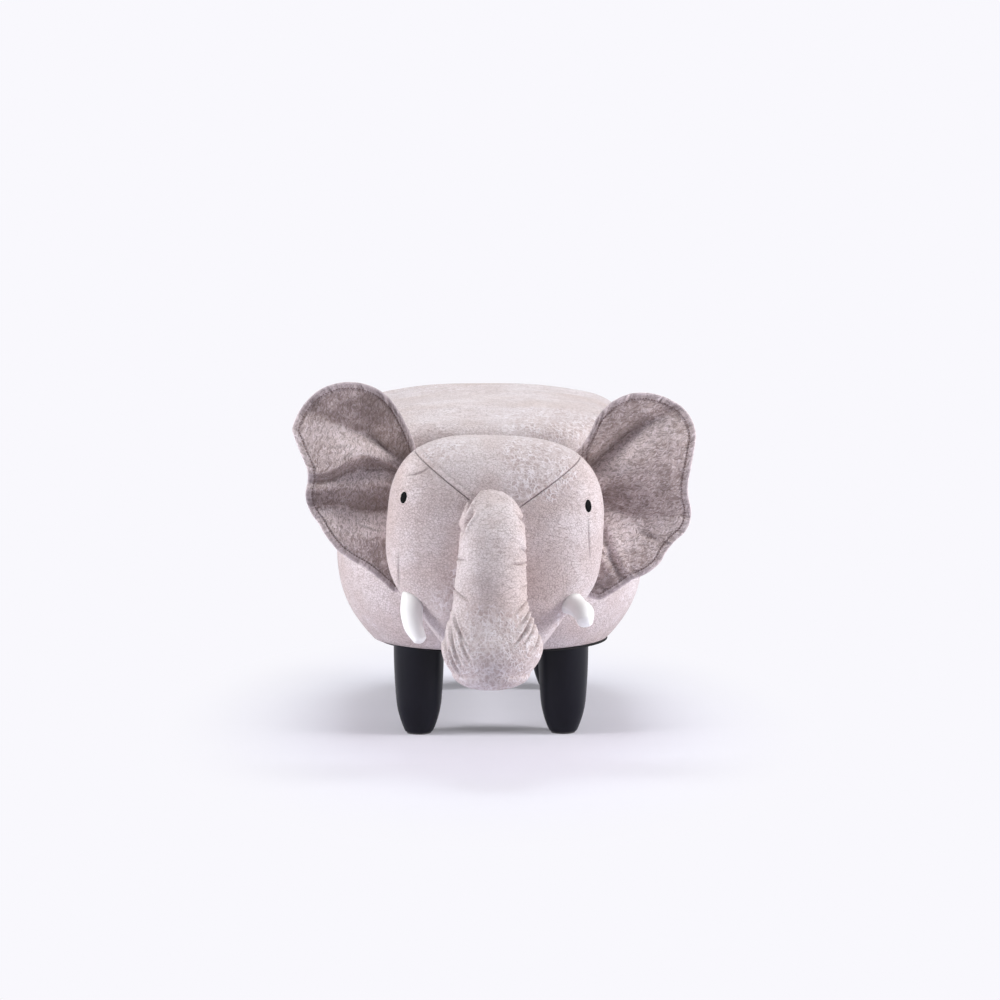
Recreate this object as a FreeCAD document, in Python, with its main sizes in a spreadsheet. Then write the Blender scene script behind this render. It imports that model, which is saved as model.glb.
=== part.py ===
import FreeCAD
import Part
import Sketcher
import math
import os
from FreeCAD import Vector

# A storage stool in the shape of an elephant: a padded box on four turned legs, a padded lid
# hinged along the left side, and a stuffed head with trunk, tusks and ears on the front.
# Millimetres, Z up, the elephant looks towards -Y, the origin is on the floor below the middle.

doc = FreeCAD.newDocument("elephant_ottoman")
sheet = doc.addObject("Spreadsheet::Sheet", "dims")

DIMENSIONS = [
    ("tub_centre_y", 91.1, "middle of the box along Y"),
    ("leg_height", 100, "floor to the underside of the box"),
    ("leg_spread_x", 80, "leg axis from the middle line"),
    ("leg_spread_y", 145, "leg axis from the middle of the box"),
    ("leg_top_radius", 27.8, "leg radius at the top"),
    ("leg_knee_radius", 25.4, "leg radius where the taper quickens"),
    ("leg_knee_height", 40, "height of that place"),
    ("leg_foot_radius", 15.6, "leg radius just above the foot"),
    ("leg_foot_edge", 1, "bevel at the foot"),
    ("leg_upper_round", 690, "radius of the upper bulge of the leg"),
    ("leg_lower_round", 105, "radius of the lower bulge of the leg"),
    ("glide_height", 1.6, "felt glide below each leg"),
    ("glide_radius", 13.5, "felt glide radius"),
    ("base_half_width", 131, "box outline at the bottom"),
    ("base_half_length", 197, "box outline at the bottom"),
    ("base_corner", 107, "corner radius of that outline"),
    ("belly_swell", 40, "how far the sides swell out"),
    ("belly_height", 205, "height of the widest place of the box"),
    ("belly_power", 2.6, "roundness of the belly below that"),
    ("seam_swell", 29, "swell at the seam between box and lid"),
    ("rim_top", 250, "top of the wooden rim"),
    ("skin", 1.5, "thickness of the leather cloth"),
    ("soft_gap", 0.5, "space between padding and cover"),
    ("board", 12, "thickness of base, rim and lid boards"),
    ("dust_cloth", 1, "thickness of the cloth below the base"),
    ("wall", 8, "thickness of the box walls"),
    ("wall_inset", 3, "wall face behind the base outline"),
    ("lining", 1, "thickness of the storage lining"),
    ("lining_gap", 2.3, "space between walls and lining"),
    ("lid_bottom", 252, "underside of the lid"),
    ("lid_swell_height", 298, "height of the widest place of the lid"),
    ("lid_round", 57, "radius of the lid's padded edge"),
    ("lid_crown", 8, "rise of the lid from that edge to its middle"),
    ("crown_width", 90, "width over which the crown rises"),
    ("hinge_x", -166, "hinge axis from the middle line"),
    ("hinge_z", 251.75, "hinge axis height"),
    ("hinge_spread", 50, "hinge from the middle of the box"),
    ("hinge_half", 20, "half the length of a hinge"),
    ("knuckle", 3.5, "knuckle radius"),
    ("knuckle_half", 6.7, "half the length of the middle knuckle"),
    ("knuckle_gap", 0.4, "space around a knuckle"),
    ("pin_radius", 1.5, "hinge pin radius"),
    ("pin_play", 0.05, "play of the turning knuckle on the pin"),
    ("leaf_fixed", 1.5, "thickness of the leaf on the rim"),
    ("leaf_moving", 1, "thickness of the leaf on the lid"),
    ("leaf_reach", 33, "hinge axis to the inner edge of a leaf"),
    ("screw_radius", 1.5, "hinge screw shank"),
    ("screw_head", 3, "hinge screw head radius"),
    ("screw_length", 9, "hinge screw length in the wood"),
    ("bolt_radius", 3, "head bolt shank"),
    ("bolt_head", 6, "head bolt head radius"),
    ("bolt_low", 175, "height of the lower head bolt"),
    ("bolt_high", 220, "height of the upper head bolt"),
    ("hanger_radius", 4, "screw between leg and base"),
    ("hanger_depth", 20, "its length in the leg"),
    ("nut_radius", 5.5, "barrel of a leg nut"),
    ("nut_flange", 11, "flange radius of a leg nut"),
    ("head_mid", -39, "widest place of the head, from the front of the box"),
    ("head_depth", 78, "widest place of the head to its face"),
    ("head_half_width", 116, "half width of the head"),
    ("head_half_height", 100, "half height of the head"),
    ("head_height", 245, "height of the middle of the head"),
    ("head_centre_x", 1, "middle of the head from the middle line"),
    ("head_roll", -2.5, "degrees the head leans to its own left"),
    ("head_power", 2.9, "squareness of the head's outline"),
    ("face_power", 2.6, "squareness of the head from the side"),
    ("head_board_half", 55, "half width of the board in the head"),
    ("head_board_low", 160, "lower edge of that board"),
    ("head_board_high", 300, "upper edge of that board"),
    ("head_gap", 0.4, "space between the box and what is fixed on it"),
    ("neck_half_width", 88, "half width of the collar between box and head"),
    ("neck_half_height", 47, "half height of that collar"),
    ("neck_height", 198, "height of the middle of that collar"),
    ("lid_clear", 1.5, "space between the head and the lid's front"),
    ("ear_y", -25, "middle of the ears, from the front of the box"),
    ("ear_thick", 7, "thickness of an ear"),
    ("ear_wave_root", 3, "depth of the folds at the root of an ear"),
    ("ear_wave_rim", 11, "depth of the folds at the rim of an ear"),
]
for row, (alias, value, note) in enumerate(DIMENSIONS, 1):
    sheet.set(f"A{row}", note)
    sheet.set(f"B{row}", str(value))
    sheet.setAlias(f"B{row}", alias)
doc.recompute()

NODES = []


def size(formula):
    """Value of a sheet cell or of a formula of sheet cells written as dims.name."""
    text = formula if "dims." in formula else "dims." + formula
    return float(sheet.evalExpression(text))


def keep(item, label):
    """Name an object and note it as one of the pieces that are written out."""
    item.Label = label
    NODES.append(item)
    return item


def bind(item, **formulas):
    """Tie properties of an object to formulas; x, y and z stand for its place."""
    for name, formula in formulas.items():
        path = f"Placement.Base.{name}" if name in ("x", "y", "z") else name
        item.setExpression(path, formula)
    return item


# Bodies made from sketches

def new_body(name):
    """Empty body whose own origin is on the floor below the middle of the box."""
    body = doc.addObject("PartDesign::Body", name)
    return bind(body, y="dims.tub_centre_y")


def new_sketch(body, name, role, height=None):
    """Sketch on one of the body's origin planes, lifted by a formula."""
    sketch = body.newObject("Sketcher::SketchObject", name)
    plane = next(item for item in body.Origin.OriginFeatures if item.Role == role)
    sketch.AttachmentSupport = (plane, [""])
    sketch.MapMode = "FlatFace"
    if height:
        sketch.setExpression("AttachmentOffset.Base.z", height)
    return sketch


def draw_outline(sketch, half_width, half_length, radius):
    """Rounded rectangle about the sketch's origin, its sizes bound to formulas."""
    w, l, r = size(half_width), size(half_length), size(radius)
    corners = [(w - r, r - l, -90), (w - r, l - r, 0), (r - w, l - r, 90), (r - w, r - l, 180)]
    sides = [((r - w, -l), (w - r, -l)), ((w, r - l), (w, l - r)),
             ((w - r, l), (r - w, l)), ((-w, l - r), (-w, r - l))]
    up = Vector(0, 0, 1)
    for (start, end), (x, y, turn) in zip(sides, corners):
        sketch.addGeometry(Part.LineSegment(Vector(*start, 0), Vector(*end, 0)))
        circle = Part.Circle(Vector(x, y, 0), up, r)
        sketch.addGeometry(Part.ArcOfCircle(circle, math.radians(turn), math.radians(turn + 90)))
    for index in range(8):
        sketch.addConstraint(Sketcher.Constraint("Tangent", index, 2, (index + 1) % 8, 1))
    for index in (0, 4):
        sketch.addConstraint(Sketcher.Constraint("Horizontal", index))
        sketch.addConstraint(Sketcher.Constraint("Vertical", index + 2))
    for index in (1, 3, 5):
        sketch.addConstraint(Sketcher.Constraint("Equal", index, index + 2))
    bound = [
        (Sketcher.Constraint("DistanceX", -1, 1, 2, 1, w), half_width),
        (Sketcher.Constraint("DistanceX", 6, 1, -1, 1, w), half_width),
        (Sketcher.Constraint("DistanceY", -1, 1, 4, 1, l), half_length),
        (Sketcher.Constraint("DistanceY", 0, 1, -1, 1, l), half_length),
        (Sketcher.Constraint("Radius", 1, r), radius),
    ]
    for constraint, formula in bound:
        number = sketch.addConstraint(constraint)
        sketch.setExpression(f"Constraints[{number}]", formula)


def offset_outline(inset):
    """Formulas of the box's bottom outline drawn in by another formula."""
    return [f"dims.{name} - ({inset})" for name in ("base_half_width", "base_half_length", "base_corner")]


def slab(name, inset, bottom, height):
    """Rounded board: the box's bottom outline drawn in, padded upward."""
    body = new_body(name)
    sketch = new_sketch(body, name + "_outline", "XY_Plane", bottom)
    draw_outline(sketch, *offset_outline(inset))
    pad = body.newObject("PartDesign::Pad", name + "_pad")
    pad.Profile = sketch
    pad.setExpression("Length", height)
    sketch.Visibility = False
    return body


def hollow(body, inset, top, depth):
    """Cut the drawn-in outline down into a body from a height."""
    sketch = new_sketch(body, body.Name + "_hollow", "XY_Plane", top)
    draw_outline(sketch, *offset_outline(inset))
    pocket = body.newObject("PartDesign::Pocket", body.Name + "_pocket")
    pocket.Profile = sketch
    pocket.setExpression("Length", depth)
    return body


def drill_legs(body, radius, top, depth):
    """Cut a round hole at each leg down into a body from a height."""
    sketch = new_sketch(body, body.Name + "_holes", "XY_Plane", top)
    for x_side, y_side in LEG_SIDES.values():
        place = Vector(x_side * size("leg_spread_x"), y_side * size("leg_spread_y"), 0)
        ring = sketch.addGeometry(Part.Circle(place, Vector(0, 0, 1), size(radius)))
        across = ("DistanceX", -1, 1, ring, 3) if x_side > 0 else ("DistanceX", ring, 3, -1, 1)
        along = ("DistanceY", -1, 1, ring, 3) if y_side > 0 else ("DistanceY", ring, 3, -1, 1)
        bound = [
            (Sketcher.Constraint(*across, size("leg_spread_x")), "dims.leg_spread_x"),
            (Sketcher.Constraint(*along, size("leg_spread_y")), "dims.leg_spread_y"),
            (Sketcher.Constraint("Radius", ring, size(radius)), radius),
        ]
        for constraint, formula in bound:
            number = sketch.addConstraint(constraint)
            sketch.setExpression(f"Constraints[{number}]", formula)
    doc.recompute()
    before = body.Shape.Volume
    pocket = body.newObject("PartDesign::Pocket", body.Name + "_drill")
    pocket.Profile = sketch
    pocket.setExpression("Length", depth)
    doc.recompute()
    if body.Shape.Volume > before - 1:
        raise RuntimeError(f"the holes in {body.Name} cut nothing")
    return body


# Simple solids and their joins

def box(name, length, width, height, **place):
    """Block whose size and place are formulas."""
    item = doc.addObject("Part::Box", name)
    return bind(item, Length=length, Width=width, Height=height, **place)


def rod(name, radius, length, axis=Vector(0, 0, 1), **place):
    """Round bar along an axis from a place."""
    item = doc.addObject("Part::Cylinder", name)
    item.Placement.Rotation = FreeCAD.Rotation(Vector(0, 0, 1), axis)
    return bind(item, Radius=radius, Height=length, **place)


def cone(name, low, high, length, **place):
    """Upright cone from a lower to an upper radius."""
    item = doc.addObject("Part::Cone", name)
    return bind(item, Radius1=low, Radius2=high, Height=length, **place)


def join(name, items):
    """One solid made of several."""
    item = doc.addObject("Part::MultiFuse", name)
    item.Shapes = items
    return item


def cut(name, base, tool):
    """A solid less another."""
    item = doc.addObject("Part::Cut", name)
    item.Base = base
    item.Tool = tool
    return item


def common(name, base, tool):
    """What two solids share."""
    item = doc.addObject("Part::Common", name)
    item.Base = base
    item.Tool = tool
    return item


def group(name, items):
    """Separate solids kept as one piece, such as four alike screws."""
    item = doc.addObject("Part::Compound", name)
    item.Links = items
    return keep(item, name)


def solid(name, shape):
    """A soft form whose shape is worked out from the sheet."""
    item = doc.addObject("Part::Feature", name)
    item.Shape = shape.removeSplitter() if len(shape.Solids) > 1 else shape
    return keep(item, name)


# Legs, base and box

LEG_SIDES = {
    "front_left": (-1, -1),
    "front_right": (1, -1),
    "rear_left": (-1, 1),
    "rear_right": (1, 1),
}
LEG_X = {-1: "-dims.leg_spread_x", 1: "dims.leg_spread_x"}
LEG_Y = {-1: "dims.tub_centre_y - dims.leg_spread_y", 1: "dims.tub_centre_y + dims.leg_spread_y"}


def draw_leg(sketch):
    """Half profile of a leg: foot, bevel, quick lower bulge, slow upper bulge, top, axis."""
    foot, knee, top = size("leg_foot_radius"), size("leg_knee_radius"), size("leg_top_radius")
    low, edge = size("glide_height"), size("leg_foot_edge")
    bend, high = size("leg_knee_height"), size("leg_height")
    points = [Vector(0, low, 0), Vector(foot - edge, low, 0), Vector(foot, low + edge, 0),
              Vector(knee, bend, 0), Vector(top, high, 0), Vector(0, high, 0)]

    def bulge(start, end, radius):
        """Arc of a given radius between two points, swelling away from the axis."""
        chord = end - start
        half = chord.Length / 2
        away = Vector(chord.y, -chord.x, 0).normalize()
        rise = radius - math.sqrt(radius ** 2 - half ** 2)
        return Part.Arc(start, (start + end) / 2 + away * rise, end)

    edges = [Part.LineSegment(points[0], points[1]), Part.LineSegment(points[1], points[2]),
             bulge(points[2], points[3], size("leg_lower_round")),
             bulge(points[3], points[4], size("leg_upper_round")),
             Part.LineSegment(points[4], points[5]), Part.LineSegment(points[5], points[0])]
    for edge_curve in edges:
        sketch.addGeometry(edge_curve)
    for index in range(6):
        following = (index + 1) % 6
        sketch.addConstraint(Sketcher.Constraint("Coincident", index, 2, following, 1))
    sketch.addConstraint(Sketcher.Constraint("PointOnObject", 5, 1, -2))
    sketch.addConstraint(Sketcher.Constraint("Vertical", 5))
    sketch.addConstraint(Sketcher.Constraint("Horizontal", 0))
    sketch.addConstraint(Sketcher.Constraint("Horizontal", 4))
    bound = [
        (("DistanceY", -1, 1, 0, 1, low), "dims.glide_height"),
        (("DistanceX", 0, 1, 0, 2, foot - edge), "dims.leg_foot_radius - dims.leg_foot_edge"),
        (("DistanceX", 1, 1, 1, 2, edge), "dims.leg_foot_edge"),
        (("DistanceY", 1, 1, 1, 2, edge), "dims.leg_foot_edge"),
        (("DistanceX", -1, 1, 3, 1, knee), "dims.leg_knee_radius"),
        (("DistanceY", -1, 1, 3, 1, bend), "dims.leg_knee_height"),
        (("DistanceX", -1, 1, 4, 1, top), "dims.leg_top_radius"),
        (("DistanceY", -1, 1, 4, 1, high), "dims.leg_height"),
        (("Radius", 2, size("leg_lower_round")), "dims.leg_lower_round"),
        (("Radius", 3, size("leg_upper_round")), "dims.leg_upper_round"),
    ]
    for arguments, formula in bound:
        number = sketch.addConstraint(Sketcher.Constraint(*arguments))
        sketch.setExpression(f"Constraints[{number}]", formula)


for side, (x_side, y_side) in LEG_SIDES.items():
    leg = doc.addObject("PartDesign::Body", "leg_" + side)
    bind(leg, x=LEG_X[x_side], y=LEG_Y[y_side])
    profile = new_sketch(leg, f"leg_{side}_profile", "XZ_Plane")
    draw_leg(profile)
    turned = leg.newObject("PartDesign::Revolution", f"leg_{side}_turned")
    turned.Profile = profile
    turned.ReferenceAxis = (profile, ["V_Axis"])
    turned.Angle = 360
    keep(leg, "leg_" + side)

BOARD_BOTTOM = "dims.leg_height + dims.dust_cloth"
BOARD_TOP = "dims.leg_height + dims.dust_cloth + dims.board"
LINING_BOTTOM = BOARD_TOP + " + 2 * dims.lining"
RIM_BOTTOM = "dims.rim_top - dims.board"
COVER_INSET = "dims.skin + dims.soft_gap"
WALL_INNER = "dims.wall_inset + dims.wall"
LINING_INSET = WALL_INNER + " + dims.lining_gap"

hangers, nuts, glides = [], [], []
for side, (x_side, y_side) in LEG_SIDES.items():
    place = {"x": LEG_X[x_side], "y": LEG_Y[y_side]}
    hangers.append(rod("hanger_" + side, "dims.hanger_radius", "dims.hanger_depth + dims.board",
                       z="dims.leg_height - dims.hanger_depth", **place))
    barrel = rod("nut_barrel_" + side, "dims.nut_radius", "dims.board - 1", z=BOARD_BOTTOM + " + 1", **place)
    flange = rod("nut_flange_" + side, "dims.nut_flange", "dims.lining", z=BOARD_TOP, **place)
    whole = join("nut_whole_" + side, [barrel, flange])
    bore = rod("nut_bore_" + side, "dims.hanger_radius", "dims.board + dims.lining", z=BOARD_BOTTOM, **place)
    nuts.append(cut("nut_" + side, whole, bore))
    glides.append(rod("glide_" + side, "dims.glide_radius", "dims.glide_height", **place))
group("leg_hanger_bolts", hangers)
group("leg_t_nuts", nuts)
group("leg_glides", glides)

base_board = slab("base_board", COVER_INSET, BOARD_BOTTOM, "dims.board")
keep(drill_legs(base_board, "dims.nut_radius", BOARD_TOP, "dims.board"), "base_board")
dust_cover = slab("dust_cover", COVER_INSET, "dims.leg_height", "dims.dust_cloth")
keep(drill_legs(dust_cover, "dims.hanger_radius", BOARD_BOTTOM, "dims.dust_cloth"), "dust_cover")

WALL_HEIGHT = f"{RIM_BOTTOM} - ({BOARD_TOP})"
WALL_HALF = "dims.base_half_width - dims.wall_inset"
STRAIGHT = "(dims.base_half_length - dims.base_corner)"
LONG = "2 * dims.base_half_length"
for side, start in (("left", f"-({WALL_HALF})"), ("right", f"{WALL_HALF} - dims.wall")):
    panel = box("wall_" + side, "dims.wall", "2 * " + STRAIGHT, WALL_HEIGHT,
                x=start, y="dims.tub_centre_y - " + STRAIGHT, z=BOARD_TOP)
    keep(panel, "wall_" + side)

BOLT_HEIGHTS = {"low": "dims.bolt_low", "high": "dims.bolt_high"}
FRONT = "dims.tub_centre_y - dims.base_half_length"
HEAD_BOARD_FRONT = FRONT + " - dims.belly_swell - 2 * dims.wall"
WALL_FRONT = FRONT + " + dims.wall_inset"
bolts, nuts, holes = [], [], []
for level, height in BOLT_HEIGHTS.items():
    along = Vector(0, 1, 0)
    start = HEAD_BOARD_FRONT
    reach = f"{WALL_FRONT} + dims.wall - ({start})"
    shank = rod("bolt_shank_" + level, "dims.bolt_radius", reach, along, y=start, z=height)
    crown = rod("bolt_crown_" + level, "dims.bolt_head", "dims.bolt_radius", along,
                y=start + " - dims.bolt_radius", z=height)
    bolts.append(join("bolt_" + level, [shank, crown]))
    barrel = rod("head_nut_barrel_" + level, "dims.bolt_radius * 1.5", "dims.wall", along,
                 y=WALL_FRONT, z=height)
    flange = rod("head_nut_flange_" + level, "dims.bolt_radius * 2.5", "dims.lining", along,
                 y=WALL_FRONT + " + dims.wall", z=height)
    bore = rod("head_nut_bore_" + level, "dims.bolt_radius", "dims.wall + dims.lining", along,
               y=WALL_FRONT, z=height)
    whole = join("head_nut_whole_" + level, [barrel, flange])
    nuts.append(cut("head_nut_" + level, whole, bore))
    holes.append(barrel)
group("head_bolts", bolts)
group("head_t_nuts", nuts)

ring_outer = slab("wall_ring_outer", "dims.wall_inset", BOARD_TOP, WALL_HEIGHT)
ring_inner = slab("wall_ring_inner", WALL_INNER, BOARD_TOP, WALL_HEIGHT)
wall_ring = cut("wall_ring", ring_outer, ring_inner)
for end, start in (("front", FRONT), ("rear", "dims.tub_centre_y + " + STRAIGHT)):
    half = box(end + "_half", "2 * dims.base_half_width", "dims.base_corner", WALL_HEIGHT,
               x="-dims.base_half_width", y=start, z=BOARD_TOP)
    bent = common(f"wall_{end}_bent", wall_ring, half)
    if end == "front":
        bent = cut("wall_front_drilled", bent, join("wall_front_holes", holes))
    keep(bent, "wall_" + end)

rim_frame = slab("rim_frame", COVER_INSET + " - dims.seam_swell", RIM_BOTTOM, "dims.board")
keep(hollow(rim_frame, WALL_INNER, "dims.rim_top", "dims.board"), "rim_frame")
LINING_HEIGHT = f"dims.rim_top - ({LINING_BOTTOM})"
lining = slab("storage_lining", LINING_INSET, LINING_BOTTOM, LINING_HEIGHT)
hollow(lining, LINING_INSET + " + dims.lining", "dims.rim_top", LINING_HEIGHT + " - dims.lining")
keep(lining, "storage_lining")

screws = []
for name, across, along in (("left_front", -1, -1), ("left_rear", -1, 1), ("right_front", 1, -1),
                            ("right_rear", 1, 1)):
    screws.append(rod("box_screw_" + name, "dims.screw_radius", "dims.board + 3 * dims.screw_length",
                      x=f"{across} * ({WALL_HALF} - dims.wall / 2)",
                      y=f"dims.tub_centre_y + {along} * ({STRAIGHT} - 2 * dims.board)", z=BOARD_BOTTOM))
group("box_screws", screws)


# Hinges

def screw_places(leaf):
    """Two places along Y on each hinge, named by hinge and end."""
    for hinge, sign in (("front", "-"), ("rear", "+")):
        for end in ("-", "+"):
            y = f"dims.tub_centre_y {sign} dims.hinge_spread {end} dims.hinge_half / 2"
            word = "near" if end == "-" else "far"
            yield f"{leaf}_{hinge}_{word}", y


SCREW_X = "dims.hinge_x + dims.leaf_reach * 0.6"
LEAF_FLOOR = "dims.rim_top"
fixed_screws, lid_screws, fixed_sinks, lid_sinks = [], [], [], []
for name, y in screw_places("fixed"):
    sink = cone("sink_" + name, "dims.screw_radius", "dims.screw_head", "dims.leaf_fixed",
                x=SCREW_X, y=y, z=LEAF_FLOOR)
    shank = rod("shank_" + name, "dims.screw_radius", "dims.screw_length", x=SCREW_X, y=y,
                z=LEAF_FLOOR + " - dims.screw_length")
    fixed_sinks.append(sink)
    fixed_screws.append(join("screw_" + name, [sink, shank]))
for name, y in screw_places("lid"):
    sink = cone("sink_" + name, "dims.screw_head", "dims.screw_radius", "dims.leaf_moving",
                x=SCREW_X, y=y, z="dims.lid_bottom")
    shank = rod("shank_" + name, "dims.screw_radius", "dims.screw_length", x=SCREW_X, y=y,
                z="dims.lid_bottom + dims.leaf_moving")
    lid_sinks.append(sink)
    lid_screws.append(join("screw_" + name, [sink, shank]))
group("hinge_screws_fixed", fixed_screws)
group("hinge_screws_lid", lid_screws)


def knuckle_rod(name, centre, radius, start, end):
    """Round bar on the hinge axis between two places measured from the middle of the hinge."""
    return rod(name, radius, f"({end}) - ({start})", Vector(0, 1, 0), x="dims.hinge_x",
               y=f"{centre} + ({start})", z="dims.hinge_z")


ROOM = "dims.knuckle + dims.knuckle_gap"
SPLIT = "dims.knuckle_half + dims.knuckle_gap"
HALF = "dims.hinge_half"
for number, (hinge, sign) in enumerate((("front", "-"), ("rear", "+"))):
    middle = f"dims.tub_centre_y {sign} dims.hinge_spread"
    edges = {"y": f"{middle} - {HALF}", "x": "dims.hinge_x"}
    plate = box(f"plate_fixed_{hinge}", "dims.leaf_reach", "2 * " + HALF, "dims.leaf_fixed",
                z=LEAF_FLOOR, **edges)
    near = knuckle_rod(f"knuckle_near_{hinge}", middle, "dims.knuckle", "-" + HALF, f"-({SPLIT})")
    far = knuckle_rod(f"knuckle_far_{hinge}", middle, "dims.knuckle", SPLIT, HALF)
    room = knuckle_rod(f"room_fixed_{hinge}", middle, ROOM, f"-({SPLIT})", SPLIT)
    bore = knuckle_rod(f"bore_fixed_{hinge}", middle, "dims.pin_radius", "-" + HALF, HALF)
    pair = fixed_sinks[2 * number:2 * number + 2]
    leaf = cut(f"leaf_fixed_{hinge}", join(f"blank_fixed_{hinge}", [plate, near, far]),
               join(f"waste_fixed_{hinge}", [room, bore] + pair))
    keep(leaf, f"hinge_{hinge}_leaf_fixed")

    plate = box(f"plate_lid_{hinge}", "dims.leaf_reach", "2 * " + HALF, "dims.leaf_moving",
                z="dims.lid_bottom", **edges)
    turning = knuckle_rod(f"knuckle_lid_{hinge}", middle, "dims.knuckle", "-dims.knuckle_half",
                          "dims.knuckle_half")
    before = knuckle_rod(f"room_before_{hinge}", middle, ROOM, f"-{HALF} - dims.knuckle_gap",
                         "-dims.knuckle_half")
    after = knuckle_rod(f"room_after_{hinge}", middle, ROOM, "dims.knuckle_half",
                        f"{HALF} + dims.knuckle_gap")
    bore = knuckle_rod(f"bore_lid_{hinge}", middle, "dims.pin_radius + dims.pin_play", "-" + HALF, HALF)
    pair = lid_sinks[2 * number:2 * number + 2]
    leaf = cut(f"leaf_lid_{hinge}", join(f"blank_lid_{hinge}", [plate, turning]),
               join(f"waste_lid_{hinge}", [before, after, bore] + pair))
    keep(leaf, f"hinge_{hinge}_leaf_lid")
    keep(knuckle_rod(f"pin_{hinge}", middle, "dims.pin_radius", "-" + HALF, HALF), f"hinge_{hinge}_pin")

LID_INSET = COVER_INSET + " - dims.seam_swell"
LID_BOARD_BOTTOM = "dims.lid_bottom + dims.lining"
keep(slab("lid_board", LID_INSET, LID_BOARD_BOTTOM, "dims.board"), "lid_board")
lid_lining = slab("lid_lining_whole", LID_INSET, "dims.lid_bottom", "dims.lining")
gaps = []
for hinge, sign in (("front", "-"), ("rear", "+")):
    gaps.append(box(f"lid_lining_gap_{hinge}", "dims.leaf_reach + dims.knuckle_gap",
                    f"2 * {HALF} + 2 * dims.knuckle_gap", "dims.lining", x="dims.hinge_x",
                    y=f"dims.tub_centre_y {sign} dims.hinge_spread - {HALF} - dims.knuckle_gap",
                    z="dims.lid_bottom"))
keep(cut("lid_lining_cut", lid_lining, join("lid_lining_gaps", gaps)), "lid_lining")
doc.recompute()


# Soft forms

TUB_Y = size("tub_centre_y")
FRONT_Y = TUB_Y - size("base_half_length") - size("belly_swell")
REAR_Y = TUB_Y + size("base_half_length") + size("belly_swell")
SKIN = size("skin")
FOAM_INSET = SKIN + size("soft_gap")


def plan_wire(swell, level):
    """The box's bottom outline swollen outward, as four lines and four arcs at a height."""
    w = size("base_half_width") + swell
    l = size("base_half_length") + swell
    r = size("base_corner") + swell
    slant = r * math.sqrt(0.5)
    edges = []
    for turn, (along, across) in enumerate(((w - r, l), (l - r, w), (w - r, l), (l - r, w))):
        spin = FreeCAD.Rotation(Vector(0, 0, 1), 90 * turn)
        shift = Vector(0, TUB_Y, level)
        place = [Vector(-along, -across, 0), Vector(along, -across, 0),
                 Vector(along + slant, r - across - slant, 0), Vector(along + r, r - across, 0)]
        start, end, middle, last = [spin.multVec(point) + shift for point in place]
        edges.append(Part.LineSegment(start, end).toShape())
        edges.append(Part.Arc(end, middle, last).toShape())
    return Part.Wire(edges)


def belly(level):
    """Swell of the box's side at a height: fast from the base, widest, then in to the seam."""
    widest = size("belly_height")
    if level <= widest:
        share = (level - size("leg_height")) / (widest - size("leg_height"))
        return size("belly_swell") * (1 - (1 - share) ** size("belly_power"))
    share = (level - widest) / (size("rim_top") - widest)
    return size("belly_swell") + (size("seam_swell") - size("belly_swell")) * share ** 2


BELLY_STEPS = (0, 0.05, 0.13, 0.25, 0.43, 0.7, 0.87, 1)
BELLY_LEVELS = [size("leg_height") + (size("rim_top") - size("leg_height")) * step for step in BELLY_STEPS]


def tub_form(inset, bottom=0.0, top=0.0):
    """The padded box drawn in all round, with its lowest and highest outline carried on."""
    wires = [plan_wire(belly(level) - inset, level) for level in BELLY_LEVELS]
    form = Part.makeLoft(wires, True, False)
    for swell, start, rise in ((belly(BELLY_LEVELS[0]), BELLY_LEVELS[0], -bottom),
                               (belly(BELLY_LEVELS[-1]), BELLY_LEVELS[-1], top)):
        if rise:
            face = Part.Face(plan_wire(swell - inset, start))
            form = form.fuse(face.extrude(Vector(0, 0, rise)))
    return form


LID_SIDE_STEPS = (0, 0.5, 1)
LID_EDGE_STEPS = (25, 48, 70, 90)
LID_CROWN_STEPS = (0.2, 0.4, 0.6, 0.8)


def lid_form(inset):
    """The padded lid drawn in: bulged side, round edge, low crown with a flat middle."""
    bottom, widest, round_edge = size("lid_bottom"), size("lid_swell_height"), size("lid_round")
    swell, seam = size("belly_swell"), size("seam_swell")
    wires = []
    for step in LID_SIDE_STEPS:
        out = swell - (swell - seam) * (1 - step) ** 2
        wires.append(plan_wire(out - inset, bottom + (widest - bottom) * step))
    for turn in LID_EDGE_STEPS:
        angle = math.radians(turn)
        reach = round_edge - inset
        wires.append(plan_wire(swell - round_edge + reach * math.cos(angle), widest + reach * math.sin(angle)))
    crown = [wires[-1]]
    for step in LID_CROWN_STEPS:
        rise = size("lid_crown") * (1 - (1 - step) ** 2)
        crown.append(plan_wire(swell - round_edge - size("crown_width") * step, widest + round_edge - inset + rise))
    return Part.makeLoft(wires, True, False).fuse(Part.makeLoft(crown, True, True))


def block(x_range, y_range, z_range):
    """Upright block between limits."""
    low = Vector(x_range[0], y_range[0], z_range[0])
    return Part.makeBox(x_range[1] - x_range[0], y_range[1] - y_range[0], z_range[1] - z_range[0], low)


FAR = 600
AROUND = 150
bolt_start = size(HEAD_BOARD_FRONT)
bolt_run = size(WALL_FRONT) - bolt_start
bolt_holes = [Part.makeCylinder(size("bolt_radius"), bolt_run, Vector(0, bolt_start, size(height)), Vector(0, 1, 0))
              for height in BOLT_HEIGHTS.values()]
hinge_notches = []
for sign in (-1, 1):
    middle = TUB_Y + sign * size("hinge_spread")
    reach = size("hinge_half") + size("knuckle_gap")
    inner = size("hinge_x") + size("leaf_reach") + size("knuckle_gap")
    hinge_notches.append(block((-FAR, inner), (middle - reach, middle + reach),
                               (size("rim_top"), size("lid_bottom") + size("leaf_moving"))))

tub_outer = tub_form(0, top=SKIN)
well = Part.Face(plan_wire(-size(LINING_INSET), size("rim_top"))).extrude(Vector(0, 0, SKIN))
cover = tub_outer.cut(tub_form(SKIN, bottom=SKIN))
solid("body_cover", cover.cut([well] + hinge_notches + bolt_holes))

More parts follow.
